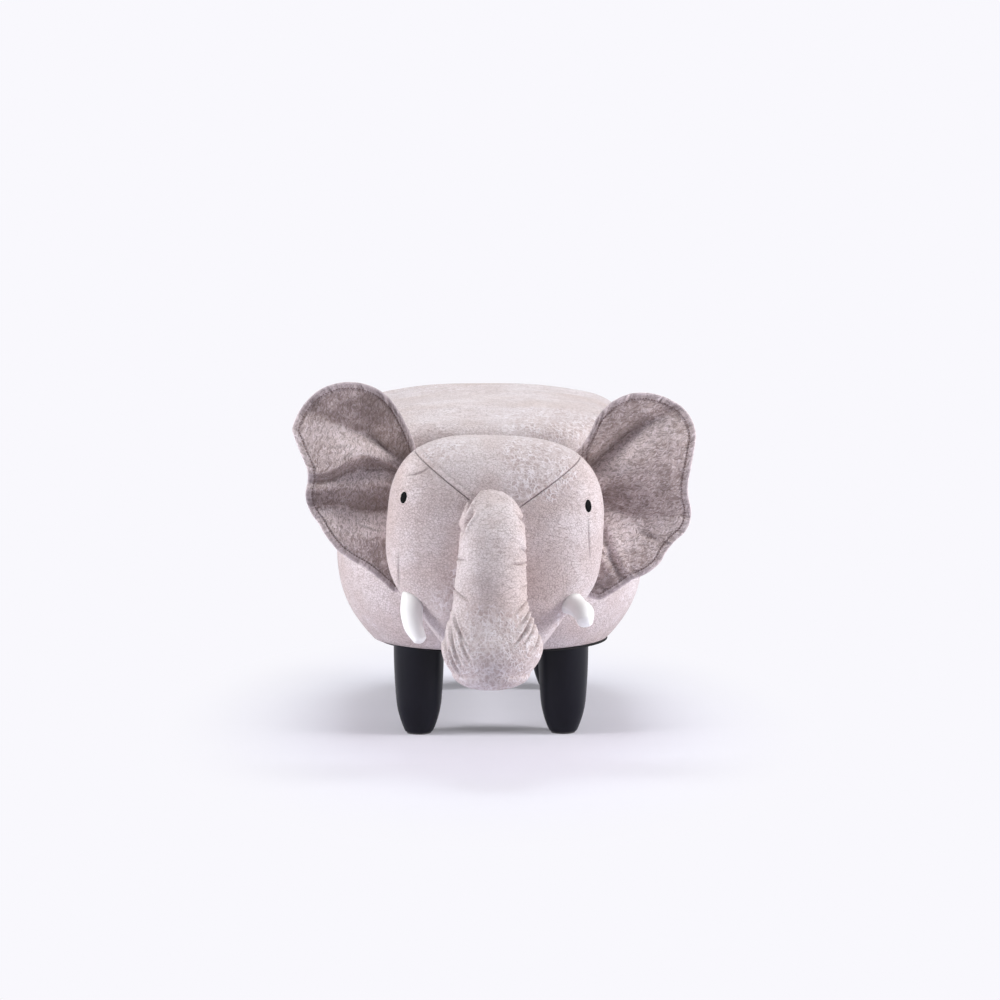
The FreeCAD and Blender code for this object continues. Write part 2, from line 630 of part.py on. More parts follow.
stem_height = size("rim_top") - size("board") - size("leg_height")
stem = Part.Face(plan_wire(-size("wall_inset"), size("leg_height"))).extrude(Vector(0, 0, stem_height))
rim_room = Part.Face(plan_wire(AROUND, size(RIM_BOTTOM))).extrude(Vector(0, 0, FAR))
floor_room = Part.Face(plan_wire(AROUND, 0)).extrude(Vector(0, 0, size(BOARD_TOP)))
padding = tub_form(FOAM_INSET).cut([stem, rim_room, floor_room])
straight = size(STRAIGHT)
tall = (0, FAR)
solid("foam_front", padding.common(block((-FAR, FAR), (-FAR, TUB_Y - straight), tall)).cut(bolt_holes))
solid("foam_rear", padding.common(block((-FAR, FAR), (TUB_Y + straight, FAR), tall)))
middle_range = (TUB_Y - straight, TUB_Y + straight)
solid("foam_left", padding.common(block((-FAR, 0), middle_range, tall)))
solid("foam_right", padding.common(block((0, FAR), middle_range, tall)))

lid_outer = lid_form(0)
lid_inside = lid_form(SKIN)
solid("lid_cover", lid_outer.cut([lid_inside] + hinge_notches))
lid_floor = Part.Face(plan_wire(AROUND, 0)).extrude(Vector(0, 0, size(LID_BOARD_BOTTOM + " + dims.board")))
solid("lid_foam", lid_form(FOAM_INSET).cut(lid_floor))


def arc_loop(points):
    """Closed line of three-point arcs: every other point is an end, the ones between lie on the arcs."""
    count = len(points)
    edges = [Part.Arc(points[index], points[index + 1], points[(index + 2) % count]).toShape()
             for index in range(0, count, 2)]
    return Part.Wire(edges)


SECTION_POINTS = 16


def power(value, exponent):
    """Signed power, for rounded squares."""
    return math.copysign(abs(value) ** exponent, value)


def head_wire(share, y, inset):
    """Outline of the head, a rolled rounded square, at a share of its full size."""
    roll = FreeCAD.Rotation(Vector(0, 1, 0), -size("head_roll"))
    exponent = 2 / size("head_power")
    half_width = size("head_half_width") * share - inset
    half_height = size("head_half_height") * share - inset
    centre = Vector(size("head_centre_x"), y, size("head_height"))
    points = []
    for step in range(SECTION_POINTS):
        angle = 2 * math.pi * (step - 1) / SECTION_POINTS
        across = half_width * power(math.cos(angle), exponent)
        above = half_height * power(math.sin(angle), exponent)
        points.append(centre + roll.multVec(Vector(across, 0, above)))
    return arc_loop(points)


HEAD_STEPS = (-1, -0.75, -0.4, 0, 0.32, 0.6, 0.8, 0.93, 0.985)
BACK_DRAW = 0.1


def head_form(inset):
    """The head from its back to its face; the outline shrinks towards the face as a rounded square."""
    exponent = size("face_power")
    wires = []
    for step in HEAD_STEPS:
        if step <= 0:
            share = 1 - BACK_DRAW * step ** 2
            y = FRONT_Y + size("head_mid") + (size("head_mid") + size("lid_clear") + inset) * step
        else:
            share = (1 - step ** exponent) ** (1 / exponent)
            y = FRONT_Y + size("head_mid") - (size("head_depth") - inset) * step
        wires.append(head_wire(share, y, inset))
    return Part.makeLoft(wires, True, False)


def ring_wire(centre, forward, half_width, half_depth):
    """Oval section across a path, wide in X."""
    side = Vector(1, 0, 0)
    up = side.cross(forward).normalize()
    points = []
    for step in range(SECTION_POINTS):
        angle = 2 * math.pi * step / SECTION_POINTS
        points.append(centre + side * half_width * math.cos(angle) + up * half_depth * math.sin(angle))
    return arc_loop(points)


def limb_form(stations, inset):
    """Stuffed limb through stations of (x, y from the box's front, z, half width, half depth)."""
    centres = [Vector(x, FRONT_Y + y, z) for x, y, z, _, _ in stations]
    wires = []
    for index, (_, _, _, half_width, half_depth) in enumerate(stations):
        before = centres[max(index - 1, 0)]
        after = centres[min(index + 1, len(centres) - 1)]
        forward = (after - before).normalize()
        last = index == len(stations) - 1
        centre = centres[index] - forward * (inset if last else 0)
        wires.append(ring_wire(centre, forward, half_width - inset, half_depth - inset))
    return Part.makeLoft(wires, True, False)


TRUNK = [
    (-1, -50, 262, 34, 30),
    (-1, -97, 264, 34, 32),
    (-3, -129, 246, 35, 34),
    (-6, -147, 208, 38, 35),
    (-8, -150, 170, 43, 36),
    (-7, -161, 140, 50, 38),
    (-6, -178, 127, 47, 34),
    (-5, -193, 121, 37, 25),
    (-5, -201, 119, 22, 13),
]
TUSKS = {
    "left": [(-86, -80, 196, 10, 10), (-86, -92, 180, 12.5, 12), (-84, -101, 162, 12.5, 12),
             (-82, -107, 146, 10, 9.5), (-81, -110, 136, 5, 5)],
    "right": [(77, -80, 186, 10, 10), (82, -94, 178, 12.5, 12), (89, -113, 168, 12.5, 12),
              (95, -128, 161, 10, 9.5), (98, -136, 157, 5, 5)],
}
TAIL_FROM_REAR = [
    (0, -10, 226, 8, 8),
    (0, 8, 222, 8, 8),
    (0, 15, 196, 8, 7),
    (0, 14, 168, 8, 7),
    (0, 13, 148, 13, 9),
    (0, 12, 126, 5, 5),
]

tub_room = tub_form(-size("head_gap"), top=SKIN)
head_whole = head_form(0)
head_inside = head_form(SKIN)
solid("head_cover", head_whole.cut([head_inside] + bolt_holes))
neck_oval = Part.Ellipse(Vector(0, 0, 0), size("neck_half_width"), size("neck_half_height"))
neck = Part.Face(Part.Wire(neck_oval.toShape())).extrude(Vector(0, 0, size("base_corner") / 2))
neck.Placement = FreeCAD.Placement(Vector(0, FRONT_Y - size("lid_clear"), size("neck_height")),
                                   FreeCAD.Rotation(Vector(1, 0, 0), -90))
solid("neck_collar", neck.cut([tub_room] + bolt_holes))
board_back = size(HEAD_BOARD_FRONT) + size("wall")
head_board = block((-size("head_board_half"), size("head_board_half")),
                   (board_back - size("wall"), board_back),
                   (size("head_board_low"), size("head_board_high")))
solid("head_board", head_board.cut(bolt_holes))
bolt_heads = [Part.makeCylinder(size("bolt_head"), size("bolt_radius"),
                                Vector(0, size(HEAD_BOARD_FRONT) - size("bolt_radius"), size(height)),
                                Vector(0, 1, 0))
              for height in BOLT_HEIGHTS.values()]
solid("head_filling", head_inside.cut([head_board] + bolt_holes + bolt_heads))

trunk_whole = limb_form(TRUNK, 0).cut(head_whole)
trunk_inside = limb_form(TRUNK, SKIN)
solid("trunk_cover", trunk_whole.cut(trunk_inside))
solid("trunk_filling", trunk_inside.cut(head_whole))
for side, stations in TUSKS.items():
    solid("tusk_" + side, limb_form(stations, 0).cut([head_whole, trunk_whole]))
tail_stations = [(x, y + REAR_Y - FRONT_Y, z, w, d) for x, y, z, w, d in TAIL_FROM_REAR]
solid("tail", limb_form(tail_stations, 0).cut(tub_room))

# Ear outlines as seen from the front: ends of arcs and a place on each arc between them, X and Z
EARS = {
    "left": [(-84, 333), (-94, 357), (-106, 378), (-122, 393), (-145, 401.5), (-167, 401), (-187, 393),
             (-206, 373), (-216, 350), (-209, 331), (-200, 311), (-199, 299), (-201.5, 286),
             (-200, 269), (-189, 251), (-179, 235), (-169, 222), (-156, 211.5), (-141, 203),
             (-122, 187), (-108, 173), (-97, 176), (-84, 200), (-78, 265)],
    "right": [(84, 322), (98, 338), (108, 359), (125, 379), (148, 389.5), (172, 388.5), (193, 380),
              (211, 363), (216.5, 340), (213, 318), (209.5, 299), (208.5, 286), (210.5, 271),
              (212, 252), (203, 236), (191, 225.5), (180, 208), (168, 197), (150, 188.5),
              (131, 174), (116, 164), (100, 169), (84, 196), (78, 260)],
}
# Heights of the folds of an ear, from top to bottom: an edge, back, forth, back, forth, an edge
FOLDS_ROOT = (415, 350, 303, 258, 222, 150)
FOLDS_RIM = (430, 374, 334, 275, 228, 145)
FOLD_SENSE = (-0.2, 1, -1, 1, -1, 0.4)
EAR_STATIONS = (70, 105, 145, 185, 230)


def fold_wire(side, reach):
    """Section across an ear at a distance from the middle line: two wavy lines of arcs, closed."""
    share = (reach - EAR_STATIONS[0]) / (EAR_STATIONS[-1] - EAR_STATIONS[0])
    wave = size("ear_wave_root") + (size("ear_wave_rim") - size("ear_wave_root")) * share
    heights = [low + (high - low) * share for low, high in zip(FOLDS_ROOT, FOLDS_RIM)]
    folds = [Vector(side * reach, FRONT_Y + size("ear_y") + sense * wave, level)
             for sense, level in zip(FOLD_SENSE, heights)]
    between = [(folds[index] + folds[index + 1]) / 2 for index in (1, 2, 3)]
    line = [folds[0], folds[1], between[0], folds[2], between[1], folds[3], between[2], folds[4], folds[5]]
    back = [point + Vector(0, size("ear_thick"), 0) for point in line]
    edges = [Part.Arc(*line[index:index + 3]).toShape() for index in (0, 2, 4, 6)]
    edges.append(Part.LineSegment(line[-1], back[-1]).toShape())
    edges += [Part.Arc(back[index + 2], back[index + 1], back[index]).toShape() for index in (6, 4, 2, 0)]
    edges.append(Part.LineSegment(back[0], line[0]).toShape())
    return Part.Wire(edges)


for side, sign in (("left", -1), ("right", 1)):
    folded = Part.makeLoft([fold_wire(sign, reach) for reach in EAR_STATIONS], True, False)
    outline = arc_loop([Vector(x, -FAR, z) for x, z in EARS[side]])
    prism = Part.Face(outline).extrude(Vector(0, 2 * FAR, 0))
    solid("ear_" + side, folded.common(prism).cut(head_whole))

EYES = {"left": (-97, 287), "right": (98, 277)}
EYE_HALF_WIDTH, EYE_HALF_HEIGHT, EYE_RISE = 4.5, 7.5, 1.2


def face_y(x, z):
    """Y of the head's face at a place seen from the front."""
    roll = math.radians(size("head_roll"))
    dx, dz = x - size("head_centre_x"), z - size("head_height")
    across = dx * math.cos(roll) + dz * math.sin(roll)
    above = dz * math.cos(roll) - dx * math.sin(roll)
    exponent, depth = size("head_power"), size("face_power")
    share = (abs(across / size("head_half_width")) ** exponent
             + abs(above / size("head_half_height")) ** exponent) ** (1 / exponent)
    return FRONT_Y + size("head_mid") - size("head_depth") * (1 - share ** depth) ** (1 / depth)


for side, (x, z) in EYES.items():
    slope = (face_y(x + 1, z) - face_y(x - 1, z)) / 2
    rise = (face_y(x, z + 1) - face_y(x, z - 1)) / 2
    outward = Vector(slope, -1, rise).normalize()
    oval = Part.Ellipse(Vector(0, 0, 0), EYE_HALF_HEIGHT, EYE_HALF_WIDTH)
    disc = Part.Face(Part.Wire(oval.toShape())).extrude(Vector(0, 0, 2 * EYE_RISE))
    across = Vector(0, 0, 1).cross(outward).normalize()
    upward = outward.cross(across)
    turn = FreeCAD.Rotation(upward, outward.cross(upward), outward, "ZXY")
    eye = disc.copy()
    eye.Placement = FreeCAD.Placement(Vector(x, face_y(x, z), z) - outward * EYE_RISE, turn)
    solid("eye_" + side, eye.cut(head_whole))

doc.recompute()
faults = [item.Name for item in doc.Objects if "Invalid" in item.State or "Error" in item.State]
faults += [item.Label for item in NODES if item.Shape.isNull() or not item.Shape.isValid()]
if faults:
    raise RuntimeError("failed objects: " + ", ".join(faults))

os.makedirs("parts", exist_ok=True)
whole_box = FreeCAD.BoundBox()
for item in NODES:
    item.Shape.exportStep(f"parts/{item.Label}.step")
    whole_box.add(item.Shape.optimalBoundingBox(False))
    print(item.Label, len(item.Shape.Solids), "solids", round(item.Shape.Volume / 1000, 2), "cm3")
print("pieces", len(NODES), "box", whole_box)
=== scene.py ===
"""Looks of a storage stool in the shape of an elephant, dressed around its packed construction.

Metres, Z up, the elephant looks towards -Y and the origin is on the floor below the middle. The padded box,
lid, head, trunk, ears and tail are surfaces worked out as whole arrays; legs, boards, hinges and screws keep
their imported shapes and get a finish.
"""

import logging
import math
from dataclasses import dataclass
from enum import Enum
from typing import Any, Sequence

import bpy
import numpy as np
from mathutils import Matrix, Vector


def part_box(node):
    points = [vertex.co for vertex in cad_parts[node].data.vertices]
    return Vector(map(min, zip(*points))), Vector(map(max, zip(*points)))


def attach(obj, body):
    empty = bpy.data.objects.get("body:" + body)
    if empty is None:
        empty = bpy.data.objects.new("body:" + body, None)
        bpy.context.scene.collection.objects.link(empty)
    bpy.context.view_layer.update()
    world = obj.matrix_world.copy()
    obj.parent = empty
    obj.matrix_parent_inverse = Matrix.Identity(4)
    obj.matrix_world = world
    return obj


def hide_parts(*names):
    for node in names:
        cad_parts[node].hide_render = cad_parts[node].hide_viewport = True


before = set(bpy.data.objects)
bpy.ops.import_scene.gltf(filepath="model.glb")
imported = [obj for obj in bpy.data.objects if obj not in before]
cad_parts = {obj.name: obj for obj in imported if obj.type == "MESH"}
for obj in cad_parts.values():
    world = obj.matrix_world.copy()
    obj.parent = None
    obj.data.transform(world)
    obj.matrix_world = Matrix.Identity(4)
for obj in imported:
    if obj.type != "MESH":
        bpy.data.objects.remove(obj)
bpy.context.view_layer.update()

LOG = logging.getLogger("elephant_stool")
Array = np.ndarray
Piece = bpy.types.Object
Material = bpy.types.Material
Pair = tuple[float, float]
Triple = tuple[float, float, float]
Stations = tuple[tuple[float, float, float, float, float], ...]
TURN = 2 * math.pi
TINY = 1e-9
MM = 0.001


class Body(Enum):
    """Moving bodies of the stool."""

    BOX = "box"
    LID = "lid"


class Slot(Enum):
    """Material slot names that the new pieces use."""

    LEATHER = "leather_cloth"
    EAR = "ear_suede"
    TUSK = "tusk_cloth"
    EYE = "eye_thread"
    LINING = "lining_cloth"


# Arrays and surfaces


def smooth_step(values: Array, low: float, high: float) -> Array:
    """Rise from 0 at low to 1 at high along a cubic with level ends."""
    share = np.clip((values - low) / (high - low), 0.0, 1.0)
    return share * share * (3 - 2 * share)


def signed_power(values: Array, exponent: float) -> Array:
    """Power of the size of each value with its sign kept, for rounded squares."""
    return np.sign(values) * np.abs(values) ** exponent


def bell(values: Array, width: float) -> Array:
    """Bell curve: one at zero, and one over e where a value is as large as the width."""
    return np.exp(-(values / width) ** 2)


def unit(vectors: Array) -> Array:
    """Each vector divided by its length."""
    return vectors / np.maximum(np.linalg.norm(vectors, axis=-1, keepdims=True), TINY)


def turn_gap(angles: Array, place: float) -> Array:
    """Angles measured from a place, from minus half a turn to half a turn."""
    return np.angle(np.exp(1j * (angles - place)))


def distances(line: Array) -> Array:
    """How far along a line each of its points lies."""
    return np.concatenate([[0.0], np.cumsum(np.linalg.norm(np.diff(line, axis=0), axis=1))])


LATTICE = 32
ANGLE_STEPS = 40
WAVE_LENGTH = 0.314
BEAD_RINGS = 6
BEAD_SIDES = 6
BEAD_POWER = 0.6


def soft_noise(points: Array, size: float, seed: int) -> Array:
    """Smooth seeded noise from -1 to 1: random values on a cubic lattice, blended between its corners.

    Args:
        points: places as (..., xyz).
        size: spacing of the lattice.
        seed: which lattice is drawn.

    Returns:
        One value for each place.
    """
    lattice = np.random.default_rng(seed).uniform(-1.0, 1.0, (LATTICE,) * 3)
    place = points / size
    cell = np.floor(place).astype(int)
    part = place - cell
    weight = part * part * (3 - 2 * part)
    total = np.zeros(points.shape[:-1])
    for corner in np.ndindex(2, 2, 2):
        offset = np.array(corner)
        share = np.prod(np.where(offset == 1, weight, 1 - weight), axis=-1)
        first, second, third = np.moveaxis((cell + offset) % LATTICE, -1, 0)
        total += share * lattice[first, second, third]
    return total


def waviness(points: Array, *layers: tuple[float, float, int]) -> Array:
    """Sum of soft noises, each given by its height, the spacing of its lattice and its seed."""
    return sum(height * soft_noise(points, size, seed) for height, size, seed in layers)


def hem_pulls(rows: Array, height: Array, size: float, reach: float, seed: int) -> Array:
    """Upright puckers above a hem: noise that is long in height and fades away from the hem."""
    return soft_noise(rows * np.array([1, 1, 0.25]), size, seed) * np.exp(-height / reach)


def eased(knots: Array, values: Array, places: Array) -> Array:
    """Smooth curve through values at rising knots: cubic Hermite spans with slopes from their neighbours.

    Args:
        knots: where the values are given.
        values: one row of values for each knot.
        places: where to read the curve; outside the knots it keeps its end values.

    Returns:
        One row of values for each place.
    """
    slopes = np.gradient(values, knots, axis=0)
    place = np.clip(places, knots[0], knots[-1])
    span = np.clip(np.searchsorted(knots, place, side="right") - 1, 0, len(knots) - 2)
    width = knots[span + 1] - knots[span]
    part = (place - knots[span]) / width
    tail = (...,) + (None,) * (values.ndim - 1)
    part, width = part[tail], width[tail]
    rise = part * part * (3 - 2 * part)
    leave = part * (1 - part) ** 2 * width
    arrive = part * part * (part - 1) * width
    return (values[span] * (1 - rise) + values[span + 1] * rise
            + slopes[span] * leave + slopes[span + 1] * arrive)


def smooth_path(stations: Array, shares: Array) -> Array:
    """Rows at shares of a smooth curve through stations, whose first three values are a place."""
    knots = distances(stations[:, :3])
    return eased(knots, stations, shares * knots[-1])


def crowded(count: int, places: Sequence[float], gain: float, spread: float) -> Array:
    """Angles once round a turn, drawn together near some places.

    The spacing follows one over a density of 1 plus a bell curve at each place.

    Args:
        count: how many angles.
        places: angles to crowd around.
        gain: how many times denser the middle of a crowd is.
        spread: half width of a crowd in radians.

    Returns:
        Rising angles from 0 to less than a turn.
    """
    fine = np.linspace(0.0, TURN, ANGLE_STEPS * count + 1)
    density = 1 + sum(gain * bell(turn_gap(fine, place), spread) for place in places)
    filled = np.concatenate([[0.0], np.cumsum((density[1:] + density[:-1]) / 2)])
    wanted = np.linspace(0.0, filled[-1], count, endpoint=False)
    return np.interp(wanted, filled, fine)


def grid_normals(rows: Array) -> Array:
    """Unit normals of a ring grid: slope around crossed with slope along."""
    around = np.roll(rows, -1, axis=1) - np.roll(rows, 1, axis=1)
    return unit(np.cross(around, np.gradient(rows, axis=0)))


def stand(name: str, data: bpy.types.ID) -> Piece:
    """New object of a mesh, lamp or camera in the scene."""
    item = bpy.data.objects.new(name, data)
    bpy.context.scene.collection.objects.link(item)
    return item


def ring_quads(count: int, across: int) -> tuple[Array, Array, Array]:
    """Point numbers of a ring grid, those of the next column, and the corners of its quads.

    Args:
        count: rows of the grid.
        across: columns of the grid, the last one next to the first.

    Returns:
        Numbers as (row, column), the next column's likewise, and quads as (quad, corner).
    """
    index = np.arange(count * across).reshape(count, across)
    following = np.roll(index, -1, axis=1)
    quads = np.stack([index[:-1], following[:-1], following[1:], index[1:]], axis=-1)
    return index, following, quads.reshape(-1, 4)


def skin(name: str, rows: Array, first: Array | None = None, last: Array | None = None,
         **marks: Array) -> Piece:
    """Mesh object of a ring grid: a quad between neighbouring rows and columns, a fan at each closed end.

    A closed grid whose faces point inward, by the sign of its volume, is turned round.

    Args:
        name: name of the piece.
        rows: points as (row, column, xyz), the last column next to the first.
        first: point that closes the first row.
        last: point that closes the last row.
        marks: values as (row, column) that are kept on the vertices for the finish.

    Returns:
        The linked object.
    """
    count, across = rows.shape[:2]
    index, following, quads = ring_quads(count, across)
    points = [rows.reshape(-1, 3)]
    fans = []
    poles = 0
    for point, ring, turned in ((first, 0, True), (last, -1, False)):
        if point is None:
            continue
        tip = np.full(across, count * across + poles)
        edge = (following[ring], index[ring]) if turned else (index[ring], following[ring])
        fans.append(np.stack([*edge, tip], axis=-1))
        points.append(np.asarray(point, float).reshape(1, 3))
        poles += 1
    places = np.concatenate(points)
    corners = np.concatenate([quads.ravel(), *(fan.ravel() for fan in fans)])
    triangles = np.concatenate([quads[:, [0, 1, 2]], quads[:, [0, 2, 3]], *fans])
    if poles == 2:
        a, b, c = (places[triangles[:, corner]] for corner in range(3))
        if np.einsum("ij,ij->", a, np.cross(b, c)) < 0:
            corners = np.concatenate([quads[:, ::-1].ravel(), *(fan[:, ::-1].ravel() for fan in fans)])
    mesh = bpy.data.meshes.new(name)
    mesh.vertices.add(len(places))
    mesh.vertices.foreach_set("co", places.astype(np.float32).ravel())
    mesh.loops.add(len(corners))
    mesh.loops.foreach_set("vertex_index", corners.astype(np.int32))
    sizes = np.concatenate([np.full(len(quads), 4), np.full(sum(len(fan) for fan in fans), 3)])
    mesh.polygons.add(len(sizes))
    mesh.polygons.foreach_set("loop_start", (np.cumsum(sizes) - sizes).astype(np.int32))
    for mark, values in marks.items():
        kept = mesh.attributes.new(mark, "FLOAT", "POINT")
        ends = [values[row].mean() for point, row in ((first, 0), (last, -1)) if point is not None]
        kept.data.foreach_set("value", np.concatenate([values.ravel(), ends]).astype(np.float32))
    mesh.update(calc_edges=True)
    mesh.validate()
    mesh.shade_smooth()
    return stand(name, mesh)


def many(name: str, bead: Array, places: Array, axes: Array) -> Piece:
    """One mesh of many copies of a small closed ring grid.

    Each copy is the bead's points multiplied by its own three axes and moved to its place.

    Args:
        name: name of the piece.
        bead: points of the bead as (row, column, xyz); its first and last rows are points.
        places: middle of each copy as (copy, xyz).
        axes: three scaled axes of each copy as (copy, axis, xyz).

    Returns:
        The linked object.
    """
    count, across = bead.shape[:2]
    moved = np.einsum("rca,nax->nrcx", bead, axes) + places[:, None, None, :]
    quads = ring_quads(count, across)[2]
    faces = (quads[None] + (np.arange(len(places)) * count * across)[:, None, None]).reshape(-1, 4)
    mesh = bpy.data.meshes.new(name)
    mesh.from_pydata(moved.reshape(-1, 3).tolist(), [], faces.tolist())
    mesh.shade_smooth()
    return stand(name, mesh)


def stitch_bead() -> Array:
    """Unit thread bead along X: circles whose radius is a power of half a sine wave, pointed at both ends.

    Returns:
        Points as (row, column, xyz).
    """
    turn = np.linspace(0.0, math.pi, BEAD_RINGS)[:, None]
    angle = np.linspace(0.0, TURN, BEAD_SIDES, endpoint=False)[None, :]
    radius = np.sin(turn) ** BEAD_POWER
    along = -np.cos(turn) * np.ones_like(angle)
    return np.stack([along, radius * np.cos(angle), radius * np.sin(angle)], axis=-1)


def stitches(name: str, line: Array, outward: Array, pitch: float, length: float, radius: float) -> Piece:
    """A row of thread stitches along an open line on a surface.

    Args:
        name: name of the piece.
        line: points of the line.
        outward: unit normals of the surface there.
        pitch: distance from stitch to stitch.
        length: length of one stitch.
        radius: half thickness of the thread.

    Returns:
        The linked object.
    """
    run = distances(line)
    middles = np.arange(pitch / 2, run[-1], pitch)

    def read(values: Array, at: Array) -> Array:
        """Values of the line at distances along it."""
        return np.stack([np.interp(at, run, values[:, axis]) for axis in range(3)], axis=-1)

    forward = unit(read(line, middles + length / 2) - read(line, middles - length / 2))
    normal = read(outward, middles)
    side = np.cross(normal, forward)
    axes = np.stack([forward * length / 2, side * radius, normal * radius], axis=1)
    return many(name, stitch_bead(), read(line, middles), axes)


@dataclass(frozen=True)
class Crease:
    """A pinched fold between two places in a surface's own two coordinates, in millimetres.

    The height is a narrow valley with a swelling on both sides, faded towards both ends. A bow bends its
    middle to the right of the way from start to end. The swelling's gap and spread are in valley widths.
    """

    start: Pair
    end: Pair
    depth: float
    width: float
    bow: float = 0.0
    fade: float = 0.7
    swelling: float = 0.45
    swelling_gap: float = 2.1
    swelling_spread: float = 1.1

    def press(self, across: Array, along: Array) -> tuple[Array, Array]:
        """Height of the surface near the fold, and how deep in the fold each place is.

        Args:
            across: first coordinate of each place.
            along: second coordinate of each place.

        Returns:
            Heights, and depths from 0 to 1.
        """
        start, end = np.array([self.start, self.end]) * MM
        reach = math.dist(start, end)
        run = (end - start) / reach
        step_across, step_along = across - start[0], along - start[1]
        part = (step_across * run[0] + step_along * run[1]) / reach
        arch = np.sin(math.pi * np.clip(part, 0.0, 1.0))
        off = (step_across * run[1] - step_along * run[0] - self.bow * MM * arch) / (self.width * MM)
        faded = arch ** self.fade
        valley = bell(off, 1.0) * faded
        beside = bell(np.abs(off) - self.swelling_gap, self.swelling_spread) * faded
        return self.depth * MM * (self.swelling * beside - valley), valley


def pressed(creases: Sequence[Crease], across: Array, along: Array) -> tuple[Array, Array]:
    """Summed heights of several creases, and the greatest depth at each place.

    Args:
        creases: the folds.
        across: first coordinate of each place.
        along: second coordinate of each place.

    Returns:
        Heights, and depths from 0 to 1.
    """
    height = np.zeros_like(across)
    deep = np.zeros_like(across)
    for crease in creases:
        rise, valley = crease.press(across, along)
        height += rise
        deep = np.maximum(deep, valley)
    return height, deep


@dataclass(frozen=True)
class Spot:
    """A worn place of the leather: a bell curve about a point, in millimetres."""

    place: Triple
    radius: float
    strength: float

    def wear(self, points: Array) -> Array:
        """Wear at each place: strength times a bell curve of the distance over the radius."""
        gap = np.linalg.norm(points - np.array(self.place) * MM, axis=-1)
        return self.strength * bell(gap, self.radius * MM)


def worn(points: Array, spots: Sequence[Spot], seed: int, shift_y: float = 0.0) -> Array:
    """Wear from 0 to 1: the spots, broken up by noise, on a little scattered wear.

    Args:
        points: places as (..., xyz).
        spots: worn places.
        seed: first of three seeds of the noise.
        shift_y: Y from which the spots are measured.

    Returns:
        One value for each place.
    """
    broken = 0.5 + waviness(points, (0.5, 0.03, seed), (0.25, 0.012, seed + 1))
    scattered = 0.35 * smooth_step(soft_noise(points, 0.07, seed + 2), 0.15, 0.9)
    total = sum(spot.wear(points - np.array([0.0, shift_y, 0.0])) for spot in spots)
    return np.clip((total + scattered) * np.clip(0.45 + broken, 0.0, 1.3), 0.0, 1.0)


# Stuffing


def cubic_weights(count: int, wanted: int, ring: bool) -> Array:
    """Matrix that reads a coarse line of values at finer places by Catmull-Rom cubics.

    Args:
        count: number of coarse values.
        wanted: number of fine places.
        ring: whether the line closes on itself.

    Returns:
        Weights as (fine, coarse).
    """
    last = count if ring else count - 1
    place = np.linspace(0.0, last, wanted, endpoint=not ring)
    span = np.minimum(np.floor(place).astype(int), last - 1)
    part = place - span
    parts = [
        -0.5 * part + part ** 2 - 0.5 * part ** 3,
        1 - 2.5 * part ** 2 + 1.5 * part ** 3,
        0.5 * part + 2 * part ** 2 - 1.5 * part ** 3,
        -0.5 * part ** 2 + 0.5 * part ** 3,
    ]
    weights = np.zeros((wanted, count))
    for offset, share in zip((-1, 0, 1, 2), parts):
        column = (span + offset) % count if ring else np.clip(span + offset, 0, count - 1)
        np.add.at(weights, (np.arange(wanted), column), share)
    return weights


@dataclass(frozen=True)
class Stuffing:
    """How a stuffed or foam-filled cover swells, as a short cloth simulation under pressure."""

    pressure: float = 4.0
    stiffness: float = 15.0
    bending: float = 0.4
    quality: int = 6
    last_frame: int = 20
    cap: float = 0.004
    coarser: int = 3

    def swell(self, rows: Array, first: Array, last: Array) -> Array:
        """How far each grid point moves when the closed cover is filled.

        A coarser copy of the grid is blown up by the cloth solver without gravity, each move is capped,
        and the moves are read back onto the fine grid by cubics.

        Args:
            rows: grid of the cover.
            first: point that closes its first row.
            last: point that closes its last row.

        Returns:
            Moves of the same shape as the grid.
        """
        fine_rows, fine_columns = rows.shape[:2]
        row_picks = np.unique(np.linspace(0, fine_rows - 1, fine_rows // self.coarser).astype(int))
        coarse = rows[row_picks][:, ::self.coarser]
        trial = skin("stuffing_trial", coarse, first, last)
        cloth = trial.modifiers.new("stuffing", "CLOTH")
        settings = cloth.settings
        settings.quality = self.quality
        settings.use_pressure = True
        settings.uniform_pressure_force = self.pressure
        settings.effector_weights.gravity = 0.0
        settings.tension_stiffness = self.stiffness
        settings.compression_stiffness = self.stiffness
        settings.bending_stiffness = self.bending
        cloth.point_cache.frame_start = 1
        cloth.point_cache.frame_end = self.last_frame
        scene = bpy.context.scene
        for number in range(1, self.last_frame + 1):
            scene.frame_set(number)
        filled = trial.evaluated_get(bpy.context.evaluated_depsgraph_get()).data
        moved = np.zeros(len(filled.vertices) * 3, np.float32)
        filled.vertices.foreach_get("co", moved)
        scene.frame_set(1)
        bpy.data.meshes.remove(trial.data)
        shift = moved.reshape(-1, 3)[:coarse.shape[0] * coarse.shape[1]].reshape(coarse.shape) - coarse
        length = np.linalg.norm(shift, axis=-1, keepdims=True)
        shift = shift * np.minimum(1.0, self.cap / np.maximum(length, TINY))
        by_row = cubic_weights(coarse.shape[0], fine_rows, ring=False)
        by_column = cubic_weights(coarse.shape[1], fine_columns, ring=True)
        return np.einsum("ar,rcx,bc->abx", by_row, shift, by_column, optimize=True)


# Finishes


def colour(red: float, green: float, blue: float) -> tuple[float, float, float, float]:
    """Linear colour of display values from 0 to 255."""
    shares = (value / 255 for value in (red, green, blue))
    linear = [share / 12.92 if share <= 0.04045 else ((share + 0.055) / 1.055) ** 2.4 for share in shares]
    return (*linear, 1.0)


